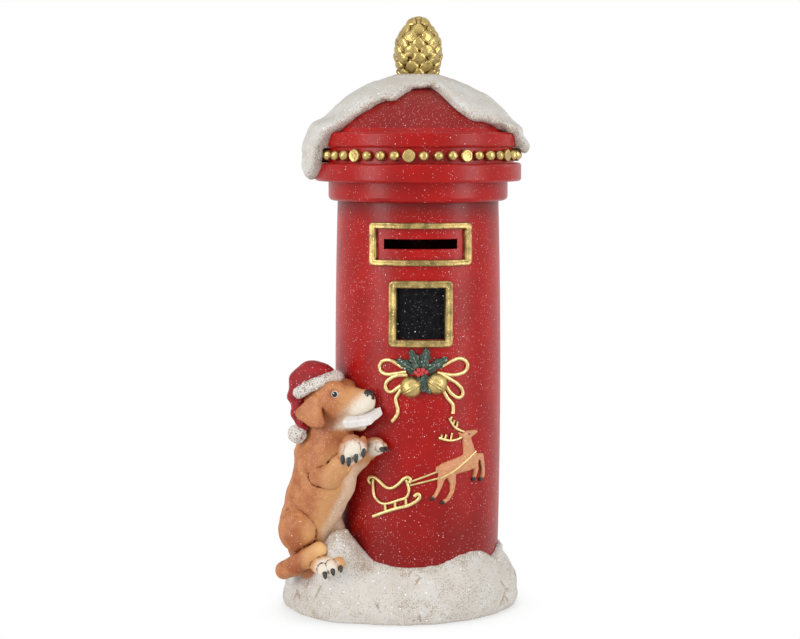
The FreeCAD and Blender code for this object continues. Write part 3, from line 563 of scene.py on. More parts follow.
def cap_clay(p):
    z, reach, angle = p[..., 2], np.hypot(p[..., 0], p[..., 1]), azimuth(p)
    ball = np.maximum(np.hypot(reach, z - CROWN_Z + DOME_RADIUS) - DOME_RADIUS, DOME_Z - 2.0 - z)
    blocks = [ball, ring_block(reach, z, EAVES_RADIUS, EAVES_Z, DOME_Z),
              ring_block(reach, z, BEAD_REACH, CHANNEL_Z, EAVES_Z),
              ring_block(reach, z, RING_RADIUS, RING_Z, CHANNEL_Z)]
    roof = np.minimum.reduce(blocks)
    blanket = blocks[0]
    for block in blocks[1:]:
        blanket = meld(blanket, block, 5.0)
    right = np.exp(-((angle - 88.0) / 40.0) ** 2) * np.clip((252.0 - z) / 12.0, 0, 1)
    thick = 4.6 - 2.0 * right + 0.5 * np.exp(-((angle + 92.0) / 35.0) ** 2)
    edge = along_line(CAP_EDGE, angle) + 0.9 * lumps(p, 3.4, 31)
    thin = np.exp(-(angle / 62.0) ** 6) * (1.0 - np.clip((z - edge) / 9.0, 0.0, 1.0)) ** 2
    thick = thick * (1.0 - 0.55 * thin)
    snow = pare(blanket - thick, edge - z, 3.2)
    snow = snow - 0.6 * lumps(p, 9.0, 32) - 0.16 * lumps(p, 2.2, 33)
    return np.maximum(snow, -(roof + 0.4))


points, faces, hollow = skin(cap_clay, (-60, -59, 214), (59, 59, 274), 0.85)
rim = np.clip((along_line(CAP_EDGE, azimuth(points)) + 7.0 - points[:, 2]) / 9.0, 0.0, 1.0) ** 2
snow_cap = cast("snow_cap", points, faces, {"hollow": np.clip(0.5 * hollow + 0.52 * rim, 0, 1)})
snow_cap.data.materials.append(snow_foot.data.materials[0])
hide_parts("roof_snow")

# Pine cone: the finial, staggered rows of thick scales that point upwards.
# It is cast, pegged into the crown of the roof and painted bright gold.
CONE_FOOT, CONE_HEIGHT = 269.6, 30.3
CONE_SIDE = np.array([(0.0, 7.9), (0.1, 9.2), (0.24, 10.3), (0.40, 10.7), (0.55, 10.1), (0.68, 8.7),
                      (0.80, 6.6), (0.90, 4.3), (1.0, 1.4)])
CONE_ROWS = [8, 8, 8, 8, 8, 7, 6, 4]


def cone_clay(p):
    reach, share = np.hypot(p[..., 0], p[..., 1]), (p[..., 2] - CONE_FOOT) / CONE_HEIGHT
    form = (reach - np.interp(share, *CONE_SIDE.T)) * 0.8
    form = pare(form, abs(share - 0.485) * CONE_HEIGHT - 0.475 * CONE_HEIGHT, 1.5)
    for row, count in enumerate(CONE_ROWS):
        at = 0.035 + 0.122 * row
        radius = np.interp(at, *CONE_SIDE.T)
        slope = (np.interp(at + 0.05, *CONE_SIDE.T) - np.interp(at - 0.05,
                                                                *CONE_SIDE.T)) / (0.1 * CONE_HEIGHT)
        lean = math.atan(slope) + math.radians(24.0 * (1.0 - 0.8 * at))
        for k in range(count):
            turn = 2.0 * math.pi * (k + 0.5 * (row % 2) + 0.06 * math.sin(7.0 * k + 3.0 * row)) / count
            out, flank = np.array([math.sin(turn), -math.cos(turn), 0.0]), np.array([math.cos(turn),
                                                                                     math.sin(turn), 0.0])
            rise = np.array([0, 0, math.cos(lean)]) + out * math.sin(lean)
            face = out * math.cos(lean) - np.array([0, 0, math.sin(lean)])
            q = p - out * (radius + 0.1) - np.array([0, 0, CONE_FOOT + at * CONE_HEIGHT])
            near = np.abs(q).max(-1) < 6.5
            local = np.stack([q[near] @ flank, q[near] @ rise, q[near] @ face], -1)
            length = 3.8 - 0.3 * max(row - 4, 0)
            width = math.pi * radius / count * (0.92 - 0.06 * np.clip(local[..., 1], -2, 3.5))
            ball = np.stack([local[..., 0] / width, local[..., 1] / length, local[..., 2] / 1.45], -1)
            scale = (np.linalg.norm(ball, axis=-1) - 1.0) * 1.5
            form[near] = np.minimum(form[near], scale)
    bud = np.linalg.norm((p - np.array([0, 0, CONE_FOOT + 0.915 * CONE_HEIGHT])) / np.array([3.6, 3.6, 2.6]),
                         axis=-1)
    return np.minimum(form, (bud - 1.0) * 2.6) - 0.16 * lumps(p, 1.6, 44)


cone = mould("gilt_cone", cone_clay, (-13, -13, 269.4), (13, 13, 301), 0.34)
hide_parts("pine_cone")
gold_paint("cone_gold", cone, (0.50, 0.37, 0.125, 1), (0.20, 0.12, 0.035, 1), 0.24)

# Holly, berries, bells and bow: the spray under the window.
# All of it is low relief on the pillar: leaves painted dark green with a pale dry brush, red
# berries, and gold on the bells and on the thin twisted cord of the bow.
BOW_Z = 124.5
LEAF_EDGE = [(0, 0.10), (0.1, 0.42), (0.2, 0.62), (0.3, 1.0), (0.37, 0.66), (0.46, 0.60), (0.54, 0.72),
             (0.63, 0.92), (0.70, 0.55), (0.80, 0.42), (0.86, 0.52), (0.92, 0.22), (1.0, 0.02)]


def holly_leaf(foot, tip, width, lift):
    """Spiny leaf from foot to tip, its edges turned up and its sides closed to the pillar."""
    along, aside = np.meshgrid(np.linspace(0, 1, 34), np.linspace(-1, 1, 17), indexing="ij")
    foot, tip = np.array(foot, float), np.array(tip, float)
    way = tip - foot
    side = np.array([-way[1], way[0]]) / np.linalg.norm(way) * width / 2
    edge = np.interp(along, *np.array(LEAF_EDGE).T)
    flat = foot + along[..., None] * way + (aside * edge)[..., None] * side
    veins = 0.22 * np.cos((along * 6.0 - abs(aside) * 1.4) * 2 * math.pi) * (1 - abs(aside)) * abs(aside) * 3
    out = lift * (0.55 + 0.45 * along) + 0.75 * abs(aside) * edge - 0.9 * (abs(aside) * edge) ** 3
    out = out - 0.40 * np.exp(-(aside / 0.16) ** 2) + veins
    top = np.stack([flat[..., 0], out, BOW_Z + flat[..., 1]], -1)
    rows, columns = along.shape
    faces = []
    for i in range(rows - 1):
        for j in range(columns - 1):
            a = i * columns + j
            faces.append((a, a + 1, a + columns + 1, a + columns))
    rim = [i * columns for i in range(rows)] + [(rows - 1) * columns + j for j in range(1, columns)]
    rim += [i * columns + columns - 1 for i in range(rows - 2, -1, -1)] + list(range(columns - 2, 0, -1))
    flat_points = top.reshape(-1, 3)
    low = flat_points[rim].copy()
    low[:, 1] = -0.5
    start = len(flat_points)
    for k in range(len(rim)):
        after = (k + 1) % len(rim)
        faces.append((rim[k], rim[after], start + after, start + k))
    return on_pillar(np.concatenate([flat_points, low])), faces


LEAVES = [((-1.0, 0.2), (-12.0, 7.0), 6.2, 1.5), ((1.0, 0.2), (13.3, 7.6), 6.2, 1.5),
          ((-0.4, 0.8), (-5.2, 11.8), 6.2, 1.9), ((0.6, 0.8), (3.0, 12.8), 6.4, 1.9),
          ((-0.4, 0.6), (1.4, -9.4), 5.0, 2.6), ((0.8, 0.6), (4.2, -10.4), 5.2, 2.8)]
holly = cast("holly", *gather([holly_leaf(*leaf) for leaf in LEAVES]))
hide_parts("holly_leaves")
tree, shader = finish_for("holly_green", holly, 0.5)
veined = effect(tree, casting_grain, Size=0.9)
edge = stage_of(tree, "NewGeometry", {}, {}).outputs["Pointiness"]
green = over(veined["Shade"], (0.006, 0.022, 0.013, 1), (0.020, 0.058, 0.034, 1))
brushed = between(effect(tree, casting_grain, Size=2.2)["Height"], 0.56, 0.70)
green = over(times(brushed, 0.55), green, (0.30, 0.37, 0.31, 1))
ridge = between(edge, 0.505, 0.56)
green = over(times(ridge, 0.85), green, (0.34, 0.42, 0.34, 1))
frost = effect(tree, glitter_dust, Spacing=2.0, Share=0.4, Fleck=0.16)
tint(shader, over(frost["Flecks"], green, (0.8, 0.85, 0.8, 1)))
press(shader, veined["Height"], 0.2)

berries = []
for x, z, size in ((-2.4, 0.6, 1.15), (-1.0, 1.8, 1.15), (0.8, 1.9, 1.2), (2.3, 0.8, 1.15), (0.2, 0.2, 1.3),
                   (-1.2, -0.4, 1.1)):
    form, faces = pebble(14, 22, lambda s: (size * math.sin(math.pi * s) + 0.0005,
                                            size * math.cos(math.pi * s) - 0.5 * math.exp(-(s / 0.10) ** 2)))
    at = on_pillar(np.array([[x, 2.6, BOW_Z + z]]))[0]
    lean = math.degrees(math.atan2(at[0], -at[1]))
    berries.append((face_out(form, lean, math.hypot(at[0], at[1]), at[2]), faces))
berry_cluster = cast("berries", *gather(berries))
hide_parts("holly_berries")
painted("berry_red", berry_cluster, 0.28, (1.2, (0.40, 0.012, 0.014, 1), (0.62, 0.05, 0.045, 1)), (1.2, 0.1))

BELL_RADIUS, BELL_RIDGE = 5.6, 0.40


def bell_side(s):
    ridges = sum(math.exp(-((s - at) / 0.022) ** 2) for at in (0.47, 0.545))
    radius = BELL_RADIUS + BELL_RIDGE * ridges
    return radius * math.sin(math.pi * s) + 0.0005, radius * math.cos(math.pi * s)


bells = []
for x, z, lean in ((-4.8, -6.9, -32.0), (7.6, -5.3, 34.0)):
    form, faces = pebble(64, 48, bell_side)
    tip = math.radians(lean)
    leant = np.stack([form[:, 0] * math.cos(tip) + form[:, 2] * math.sin(tip), form[:, 1],
                      form[:, 2] * math.cos(tip) - form[:, 0] * math.sin(tip)], 1)
    bells.append((leant + on_pillar(np.array([[x, -0.6, BOW_Z + z]]))[0], faces))
bell_pair = cast("bells", *gather(bells))
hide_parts("jingle_bells")
gold_paint("aged_gold_bells", bell_pair, (0.54, 0.40, 0.15, 1), GOLD_SHADOW, 0.32)


def gilt_cord(name, strands, z0, out, twist):
    """Thin gold cord in low relief through (x, height) points; a strand also has its half width."""
    line = bpy.data.curves.new(name, "CURVE")
    line.dimensions = "3D"
    line.bevel_depth = 0.001
    line.bevel_resolution = 4
    line.use_fill_caps = True
    for half, strand in strands:
        laid = on_pillar(np.array([(x, out, z0 + z) for x, z in strand], float))
        laid = (laid + PILLAR_AXIS) / 1000.0
        spline = line.splines.new("NURBS")
        spline.points.add(len(laid) - 1)
        for k, spot in enumerate(laid):
            spline.points[k].co = (*spot, 1.0)
            spline.points[k].radius = half
        spline.use_endpoint_u = True
        spline.order_u = 3
        spline.resolution_u = 12
    holder = bpy.data.objects.new(name + "_line", line)
    mesh = bpy.data.meshes.new_from_object(holder)
    bpy.data.objects.remove(holder)
    spots = np.empty(len(mesh.vertices) * 3)
    mesh.vertices.foreach_get("co", spots)
    spots = spots.reshape(-1, 3) * 1000.0 - PILLAR_AXIS
    faces = [tuple(face.vertices) for face in mesh.polygons]
    out_way = spots * np.array([1, 1, 0]) / np.hypot(spots[:, 0], spots[:, 1])[:, None]
    spots = spots + out_way * (twist * lumps(spots, 1.5, 9))[:, None]
    bpy.data.meshes.remove(mesh)
    piece = cast(name, spots, faces)
    gold_paint("aged_gold_" + name, piece, (0.80, 0.62, 0.28, 1), GOLD_SHADOW, 0.36)
    return piece


bow_strands = [
    [(-8.5, 2.6), (-12.5, 5.4), (-16, 6.5), (-19, 5.4), (-20.2, 2.6), (-19.2, 0.2), (-16.6, -1),
     (-12.9, -0.5), (-7.0, 0.7)],
    [(-6.4, -1), (-10.8, -0.8), (-13.9, -2.3), (-16.6, -4.5), (-17.3, -7), (-16, -9.5), (-13.9, -9.6),
     (-11.5, -7.7), (-8.0, -4.6)],
    [(-9.0, -7.4), (-12.2, -11.6), (-12.2, -14.4), (-11, -17.8), (-11.2, -21), (-14.0, -24.2)],
    [(9.0, 2.6), (15.1, 5.9), (18.9, 7.1), (22.2, 5.4), (23.1, 2.6), (21.8, -0.1), (18.3, -1.2), (14, -1.3),
     (7.8, 0.2)],
    [(9.0, -0.2), (14, -3.1), (17.6, -5.4), (20.4, -8.7), (20.6, -11.5), (18.6, -13.1), (15.8, -11.5),
     (13, -8.2), (10.6, -3.7)],
    [(10.2, -7.2), (12.6, -12.4), (15.1, -15), (16, -17.1), (15.7, -20.4)]]
bow = gilt_cord("bow_cord", [(0.95, strand) for strand in bow_strands], BOW_Z, 0.55, 0.22)
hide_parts("ribbon_bow")

# Sleigh, reins and reindeer: the little team in low relief on the lower half of the pillar.
# The sleigh, reins and antlers are thin gold lines; the leaping deer is tan with black hooves.
TEAM_Z = 65.0
sleigh_lines = [
    (0.85,
     [(-23.8, 3.4), (-25.4, 4.4), (-24.9, 6.5), (-22.5, 7.2), (-19.6, 4.8), (-16.8, 2.1), (-13.9, 1.9),
      (-11.1, 3.9),
            (-8.6, 6.9), (-6.2, 8.2), (-4.6, 6.6), (-5.6, 5.2)]),
    (0.72,
     [(-22.9, 5.8), (-23.1, 0), (-22.1, -3.6), (-19.2, -6.2), (-15.2, -5.7), (-11.1, -3.8), (-7, -2.6),
      (-5.6, 0.4),
            (-6, 3.7), (-7.2, 6.5)]),
    (0.92,
     [(-22.9, -12.9), (-17.2, -10), (-11.1, -7.7), (-6.2, -6.5), (-1.7, -3.9), (-0.1, -1.7), (-1.7, 0.2),
      (-3.1, -1.7)])]
for x, high, low in ((-17.2, -5.8, -10.0), (-12.5, -4.4, -8.2), (-7.3, -2.7, -6.8)):
    sleigh_lines.append((0.7, [(x, high), (x + 0.1, (high + low) / 2), (x + 0.2, low)]))
sleigh = gilt_cord("sleigh_lines", sleigh_lines, TEAM_Z, 0.75, 0.12)
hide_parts("sleigh")

DEER_LIMBS = [
    [(9.0, 11.5, 1.6), (12, 11.2, 3.6), (17.5, 12.6, 3.9), (23.5, 14.2, 4.4), (26.8, 16.0, 2.2)],
    [(25, 14.5, 3.8), (23.8, 20, 2.7), (22.8, 25.5, 2.1), (22.6, 28, 1.9)],
    [(19.9, 27.3, 0.9), (22.6, 27.6, 2.2), (25.5, 28.5, 1.5), (27.0, 28.9, 1.0)],
    [(20.6, 27.9, 0.8), (18.9, 29.0, 0.5)],
    [(11.5, 10.5, 3.0), (10, 6.5, 1.7), (9.2, 2.5, 1.0), (7.4, -1.2, 0.85), (5.6, -3.1, 1.0)],
    [(14.5, 9.5, 2.9), (15.8, 4.5, 1.5), (15.4, 0, 1.0), (13.4, -3.6, 0.85), (10.6, -5.2, 1.0)],
    [(26.8, 16, 2.0), (30.0, 16.4, 1.3), (31.0, 11, 0.95), (31.2, 6.4, 0.85), (30, 4.3, 1.0)],
    [(26.5, 13, 2.0), (27.6, 10.4, 1.2), (26.9, 7.0, 0.85), (26.3, 5.0, 1.0)],
    [(9.6, 12.6, 0.9), (8.0, 12.4, 0.5)]]
HOOVES = [(5.4, -3.4), (10.2, -5.4), (29.8, 4.0), (26.2, 4.8)]


def limb_flat(p, stations):
    """Flat distance to a tapering limb through (x, height, half width) stations."""
    best = 99.0
    for (xa, za, ra), (xb, zb, rb) in zip(stations, stations[1:]):
        dx, dz = xb - xa, zb - za
        share = np.clip(((p[..., 0] - xa) * dx + (p[..., 2] - za) * dz) / (dx * dx + dz * dz), 0, 1)
        gap = np.hypot(p[..., 0] - xa - share * dx, p[..., 2] - za - share * dz) - (ra + (rb - ra) * share)
        best = np.minimum(best, gap)
    return best


def deer_clay(p):
    form = limb_flat(p, DEER_LIMBS[0])
    for stations in DEER_LIMBS[1:]:
        form = meld(form, limb_flat(p, stations), 0.7)
    crown = 0.75 + 1.5 * np.sqrt(np.clip(-form / 3.6, 0, 1))
    return np.maximum(pare(form, p[..., 1] - crown, 0.6), -0.5 - p[..., 1])


points, faces, hollow = skin(deer_clay, (3, -0.5, -8), (34, 3, 32), 0.3)
hoof = sum(np.exp(-(np.hypot(points[:, 0] - x, points[:, 2] - z) / 1.65) ** 8) for x, z in HOOVES)
eye_dot = np.exp(-(np.hypot(points[:, 0] - 23.2, points[:, 2] - 28.3) / 0.55) ** 6)
black_marks = np.clip(hoof + eye_dot, 0, 1)
deer = cast("deer", on_pillar(points + np.array([0, 0, TEAM_Z])), faces,
            {"hollow": hollow, "hoof": black_marks})
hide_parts("reindeer")
tree, shader, tan = painted(
    "deer_tan", deer, 0.55, (1.6, (0.55, 0.225, 0.095, 1), (0.68, 0.33, 0.165, 1)), (1.6, 0.2),
    wash=(0.35, 0.9, 0.8, 1.0, (0.17, 0.06, 0.025, 1)), dust=(1.2, 0.34, 0.26, 0.5, (0.85, 0.66, 0.56, 1)))
tint(shader, over(mark_of(tree, "hoof"), tan, (0.008, 0.008, 0.008, 1)))

antler_lines = [
    (0.62, [(21.2, 29.6), (17.6, 31.1), (15.1, 33.8), (13.8, 37.0)]),
    (0.5, [(15.4, 33.2), (16.0, 34.2), (16.4, 35.8)]),
    (0.5, [(17.2, 31.2), (17.6, 33), (18, 34.9)]), (0.5, [(14.2, 35.4), (14.9, 36.6), (15.0, 37.6)]),
    (0.62, [(20.4, 27.2), (18.5, 26.1), (13.5, 25.4), (8.6, 27.4)]),
    (0.5, [(11.4, 25.9), (12, 27.2), (12.4, 28.9)]),
    (0.5, [(14.4, 25.5), (14.9, 27.5), (15.3, 29.4)]), (0.5, [(9.8, 26.7), (10.2, 27.8), (10.2, 28.8)])]
antler_pair = gilt_cord("antler_lines", antler_lines, TEAM_Z, 0.7, 0.12)
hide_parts("antlers")
rein_lines = [(0.5, [(-5.0, 5.6), (2.0, 8.2), (9.4, 10.9)]), (0.5, [(-5.2, 3.8), (2.0, 5.6), (9.0, 7.3)])]
rein_pair = gilt_cord("rein_lines", rein_lines, TEAM_Z, 0.6, 0.08)
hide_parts("reins")
strap_line = [(9.0, 7.3), (14.2, 9.5), (20.6, 14.3), (24.0, 17.4), (26.4, 19.4)]
gilt_cord("harness_strap", [(0.5, strap_line)], TEAM_Z, 2.15, 0.08)

# Puppy: it stands on its hind legs against the pillar with a letter in its mouth.
# The whole dog is cast with the foot; the coat is sprayed orange tan, with cream brushed on the
# muzzle, chest and paws, a painted highlight on the knees, the front of the body and the muzzle,
# and a brown wash with painted shade in the folds.
PUPPY_SEAT = np.array([-45.0, -28.0, 0.0])
AHEAD = np.array([math.cos(math.radians(30)), -math.sin(math.radians(30)), 0.0])
ACROSS = np.array([-AHEAD[1], AHEAD[0], 0.0])


def puppy_place(points):
    """Points given ahead, across and up, put where the puppy stands."""
    return PUPPY_SEAT + points[:, :1] * AHEAD + points[:, 1:2] * ACROSS + points[:,
                                                                                 2:] * np.array([0, 0, 1.0])


def ease(value, low, high):
    """Eased share that goes from 0 at low to 1 at high."""
    share = np.clip((value - low) / (high - low), 0, 1)
    return share ** 2 * (3 - 2 * share)


def egg(p, middle, radii):
    """Distance to an egg, about right near its surface."""
    q = (p - np.array(middle)) / np.array(radii)
    k = np.linalg.norm(q, axis=-1)
    return k * (k - 1.0) / (np.linalg.norm(q / np.array(radii), axis=-1) + 1e-6)


def limb_clay(p, stations, slim=1.0):
    """Tapering limb through (ahead, across, up, radius) stations, thinner across by slim."""
    p = p * np.array([1.0, slim, 1.0])
    best = None
    for first, second in zip(stations, stations[1:]):
        a, b = np.array(first[:3]) * [1, slim, 1], np.array(second[:3]) * [1, slim, 1]
        way = b - a
        share = np.clip(((p - a) @ way) / (way @ way), 0, 1)
        gap = np.linalg.norm(p - a - share[..., None] * way,
                             axis=-1) - (first[3] + (second[3] - first[3]) * share)
        best = gap if best is None else meld(best, gap, 2.0)
    return best / slim if slim > 1.0 else best


TORSO = [(-9, 0, 24, 9), (-11.5, 0, 34, 11.6), (-13.4, 0, 46, 14.2), (-8.6, 0, 58, 15.6), (-3.0, 0, 70, 16.4),
         (-1.4, 0, 82, 17.0), (-0.6, 0, 91, 13.0), (-1.0, 0, 101, 10.0)]
NEAR_ARM = [(0.6, -10.8, 73.0, 5.2), (7.4, -12.2, 73.0, 5.7), (12.8, -11.6, 78.6, 5.0),
            (17.4, -10.2, 85.0, 4.7)]
FAR_ARM = [(9.0, 4.5, 75.0, 5.2), (15.0, 3.6, 81.0, 5.0), (20.8, 2.0, 85.6, 4.6), (25.4, 0.4, 87.8, 4.2)]
SHANK = [(-21.0, -9.6, 22.8, 4.6), (-14.0, -11.0, 26.0, 4.9), (-5.4, -12.2, 31.4, 4.7),
         (0.2, -11.4, 35.6, 4.3)]
# Claws start at the toe points.
HIND_PAW = (4.4, -12.0, 28.2)
FORE_PAWS = [(19.0, -9.6, 88.0), (26.0, 0.2, 88.2)]
HIND_TOES = [(7.2, -17.2, 25.6), (10.6, -15.2, 27.2), (12.8, -11.6, 28.4)]
FORE_TOES = [(16.4, -15.0, 83.4), (19.7, -15.0, 82.6), (22.9, -13.5, 84.4), (25.3, -10.4, 86.8)]
FAR_TOES = [(30.4, -1.8, 87.8), (30.8, 1.2, 87.6)]


def seat(form, part, gap, soft):
    """A part set against a form with a pressed crease all round it."""
    return meld(pare(form, gap - part, 0.6), part, soft)


def ear_clay(p, side):
    """Flat hanging ear that bows out from the cheek."""
    flat = np.stack([p[..., 0], 0 * p[..., 0], p[..., 2]], -1)
    lobe = limb_flat(flat,
                     [(-2.6, 110.4, 2.6), (-9.0, 103.8, 2.8), (-2.4, 100.0, 2.8), (2.6, 100.2, 2.8),
                      (-1.4, 110.2, 2.6)])
    lobe = meld(lobe, limb_flat(flat, [(-2.2, 107.6, 3.6), (-2.6, 104.4, 4.8)]), 1.0)
    bow = 10.6 + 2.2 * np.clip((113.0 - p[..., 2]) / 9.0, 0, 1) + 1.2 * np.clip((p[..., 0] - 0.5) / 5.0, 0,
                                                                                1.2)
    return pare(lobe, abs(side * p[..., 1] - bow) - 1.2, 1.0)


def puppy_clay(p):
    pair = np.stack([p[..., 0], -abs(p[..., 1]), p[..., 2]], -1)
    form = limb_clay(p, TORSO, 1.32)
    form = seat(form, egg(pair, (-13.4, -9.6, 44.0), (10.0, 7.4, 11.2)), 0.45, 0.9)
    form = meld(form, egg(p, (-0.6, -8.2, 78.6), (10.4, 6.8, 9.6)), 2.4)
    form = meld(form, egg(p, (0.6, 5.4, 43.0), (4.6, 4.4, 7.0)), 2.0)
    head = egg(p, (-1.6, 0, 108.4), (11.8, 11.0, 11.8))
    head = meld(head, egg(pair, (5.0, -4.6, 110.2), (8.4, 6.2, 9.8)), 4.0)
    head = meld(head, limb_clay(p, [(6, 0, 107.8, 8.8), (12, 0, 109.4, 7.0), (19.4, 0, 110.0, 6.0)]), 3.0)
    head = meld(head, egg(pair, (17.8, -3.3, 107.6), (5.8, 3.6, 4.5)), 1.2)
    head = meld(head, limb_clay(p, [(5, 0, 101.6, 7.0), (11, 0, 100.2, 5.0), (17.6, 0, 98.6, 3.6)]), 2.0)
    head = meld(head, egg(pair, (6.2, -7.0, 117.0), (4.4, 3.0, 2.0)), 2.2)
    head = pare(head, -egg(pair, (8.8, -10.2, 113.9), (2.6, 2.0, 2.3)), 1.0)
    form = meld(form, head, 2.6)
    form = seat(form, np.minimum(ear_clay(p, -1.0), ear_clay(p, 1.0)), 0.15, 0.7)
    form = meld(form, limb_clay(p, FAR_ARM), 1.2)
    form = seat(form, limb_clay(p, NEAR_ARM), 0.4, 0.7)
    form = seat(form, egg(p, FORE_PAWS[0], (6.6, 4.8, 6.8)), 0.3, 0.9)
    form = meld(form, egg(p, FORE_PAWS[1], (5.4, 4.6, 4.4)), 1.4)
    form = seat(form, limb_clay(p, SHANK), 0.5, 0.6)
    form = seat(form, egg(p, HIND_PAW, (8.2, 4.8, 5.0)), 0.4, 0.8)
    for toes, back, radii, gap, soft in ((HIND_TOES, (-1.7, 1.7, 1.4), (3.2, 2.7, 3.5), 0.25, 0.5),
                                         (FORE_TOES, (-0.9, 1.5, 3.2), (2.1, 2.3, 4.6), 0.25, 0.5),
                                         (FAR_TOES, (-2.4, 0.3, 0.6), (3.6, 1.9, 2.5), 0.2, 0.4)):
        for toe in toes:
            form = seat(form, egg(p, np.array(toe) + np.array(back), radii), gap, soft)
    return form - 0.12 * lumps(p, 2.0, 51) - 0.12 * lumps(p, 5.5, 52)


points, faces, hollow = skin(puppy_clay, (-30, -19.5, 13), (35, 19.5, 124), 0.62)
s, l, z = points.T
sections = np.array(TORSO)
front = (s - np.interp(z, sections[:, 2], sections[:, 0])) / np.interp(z, sections[:, 2], sections[:, 3])
cream = ease(s + 0.85 * (107 - z), 8.0, 22.0) * ease(z, 94, 98)
belly = ease(front, 0.66, 0.95) * ease(z, 26, 34) * ease(82 - z, 0, 6) * ease(9.0 - abs(l), 0, 4)
cream = np.maximum(cream, 0.5 * belly)
for paw, size in [(FORE_PAWS[0], 9.2), (FORE_PAWS[1], 8.0), (HIND_PAW, 9.6)]:
    toward = np.array(paw) + np.array([2.6, -3.2, -1.6])
    cream = np.maximum(cream, ease(size - np.linalg.norm(points - toward, axis=1), 0.0, 6.0))
# Painted highlight: lighter tan on the knees, the front of the body and the muzzle.
knee = np.linalg.norm(np.stack([s, abs(l), z], 1) - np.array([3.5, 12.0, 36.0]), axis=1)
painted_highlight = ease(7.5 - knee, 0, 6) * 0.7 + ease(front, 0.2, 0.75) * 0.45 * ease(90 - z, 0, 8)
painted_highlight = np.clip(painted_highlight + ease(s, 6, 16) * ease(z, 94, 98) * 0.4, 0, 1)
puppy = cast("puppy", puppy_place(points), faces, {"hollow": hollow, "cream": cream, "painted_highlight": painted_highlight})
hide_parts("dog_body", "dog_head", "dog_ears", "dog_forelegs", "dog_hind_legs")
tree, shader = finish_for("puppy_coat", puppy, 0.55)
fur = effect(tree, casting_grain, Size=1.4)
patches = effect(tree, casting_grain, Size=11.0)
coat = over(patches["Shade"], (0.35, 0.090, 0.019, 1), (0.60, 0.250, 0.088, 1))
coat = over(times(fur["Shade"], 0.38), coat, (0.36, 0.095, 0.024, 1))
# Painted highlight laid over the coat.
coat = over(mark_of(tree, "painted_highlight"), coat, (0.78, 0.46, 0.19, 1))
strokes = reckon("SUBTRACT", fur["Shade"], 0.5)
ragged = reckon("MULTIPLY_ADD", strokes, 0.22, mark_of(tree, "cream"))
coat = over(between(ragged, 0.05, 1.0), coat, (0.80, 0.72, 0.60, 1))
# Brown wash and painted shade: the coat darkens in the folds and creases.
stain_and_shade = effect(tree, hollow_wash_and_shade, From=0.26, To=0.95, Speckle=0.12)
coat = over(times(stain_and_shade["Stain"], 0.7), coat, (0.23, 0.062, 0.017, 1))
bloom = effect(tree, glitter_dust, Spacing=1.1, Share=0.34, Fleck=0.28)
coat = over(times(bloom["Flecks"], 0.27), coat, (0.86, 0.66, 0.52, 1))
dust = effect(tree, glitter_dust, Spacing=4.0, Share=0.35, Fleck=0.075)
tint(shader, over(dust["Flecks"], coat, (0.95, 0.92, 0.88, 1)))
press(shader, fur["Height"], 0.25)

# Eyes, nose and claws: glossy black touches added last with a fine brush.
# Each eye has a white ring and a spot of light; the claws stand out from the toes.
EYE_RADIUS, EYE_BULGE = 1.75, 0.85


def eye_side(t):
    return EYE_RADIUS * math.sin(t * math.pi) + 0.0003, EYE_BULGE * math.cos(t * math.pi)


def claw_side(t):
    return 1.45 * math.sin(math.pi * t) * (1 - 0.3 * t) + 0.0003, 2.9 * math.cos(math.pi * t)


ball, ball_faces = pebble(40, 40, eye_side)
eyes = []
for side in (-1.0, 1.0):
    gaze = np.array([0.30, side * 0.95, 0.05])
    gaze /= np.linalg.norm(gaze)
    flank = np.cross([0, 0, 1.0], gaze)
    spot = np.array([8.4, side * 8.95, 113.9])
    turned = ball[:, :1] * flank + ball[:, 1:2] * np.cross(gaze, flank) + ball[:, 2:] * gaze
    eyes.append((spot + turned, ball_faces))
iris = np.where(ball[:, 2] > 0, 1.0 - ease(np.hypot(ball[:, 0], ball[:, 1]), 1.32, 1.52), 0.0)
glint = 1.0 - ease(np.hypot(ball[:, 0] + 0.45, ball[:, 1] - 0.45), 0.16, 0.34)
eye_points, eye_faces = gather(eyes)
eye_pair = cast("eyes", puppy_place(eye_points), eye_faces, {"iris": np.tile(np.clip(iris - glint, 0, 1), 2)})
tree, shader = finish_for("eye_enamel", eye_pair, 0.2)
tint(shader, over(mark_of(tree, "iris"), (0.80, 0.79, 0.76, 1), (0.006, 0.005, 0.005, 1)))


def nose_clay(p):
    pair = np.stack([p[..., 0], -abs(p[..., 1]), p[..., 2]], -1)
    form = meld(egg(p, (22.0, 0, 113.0), (2.9, 3.6, 3.0)), egg(p, (22.9, 0, 111.4), (2.4, 2.9, 2.6)), 1.2)
    return pare(form, -egg(pair, (24.2, -1.8, 113.0), (1.0, 0.9, 0.8)), 0.5)


nose = mould("nose", nose_clay, (18, -4.8, 107), (27, 4.8, 118), 0.3, puppy_place)
claws = []
for toe in HIND_TOES + FORE_TOES + FAR_TOES:
    form, faces = pebble(16, 18, claw_side)
    tip = np.array([0.45, -0.45, -0.77]) if toe[2] < 60 else np.array([0.15, -0.30, -0.94])
    tip = tip / np.linalg.norm(tip) if toe[0] < 30 else np.array([0.8, -0.3, -0.5])
    flank = np.cross([0, 0, 1.0], tip) / np.linalg.norm(np.cross([0, 0, 1.0], tip))
    turned = form[:, :1] * flank + form[:, 1:2] * np.cross(tip, flank) - form[:, 2:] * tip
    claws.append((np.array(toe) + turned, faces))
claw_points, claw_faces = gather(claws)
claw_set = cast("claws", puppy_place(claw_points), claw_faces)
for piece in (nose, claw_set):
    painted("black_enamel_" + piece.name, piece, 0.38,
            (0.8, (0.008, 0.008, 0.008, 1), (0.028, 0.027, 0.026, 1)),
            (0.8, 0.25), dust=(1.6, 0.35, 0.16, 1.0, (0.6, 0.6, 0.6, 1)))

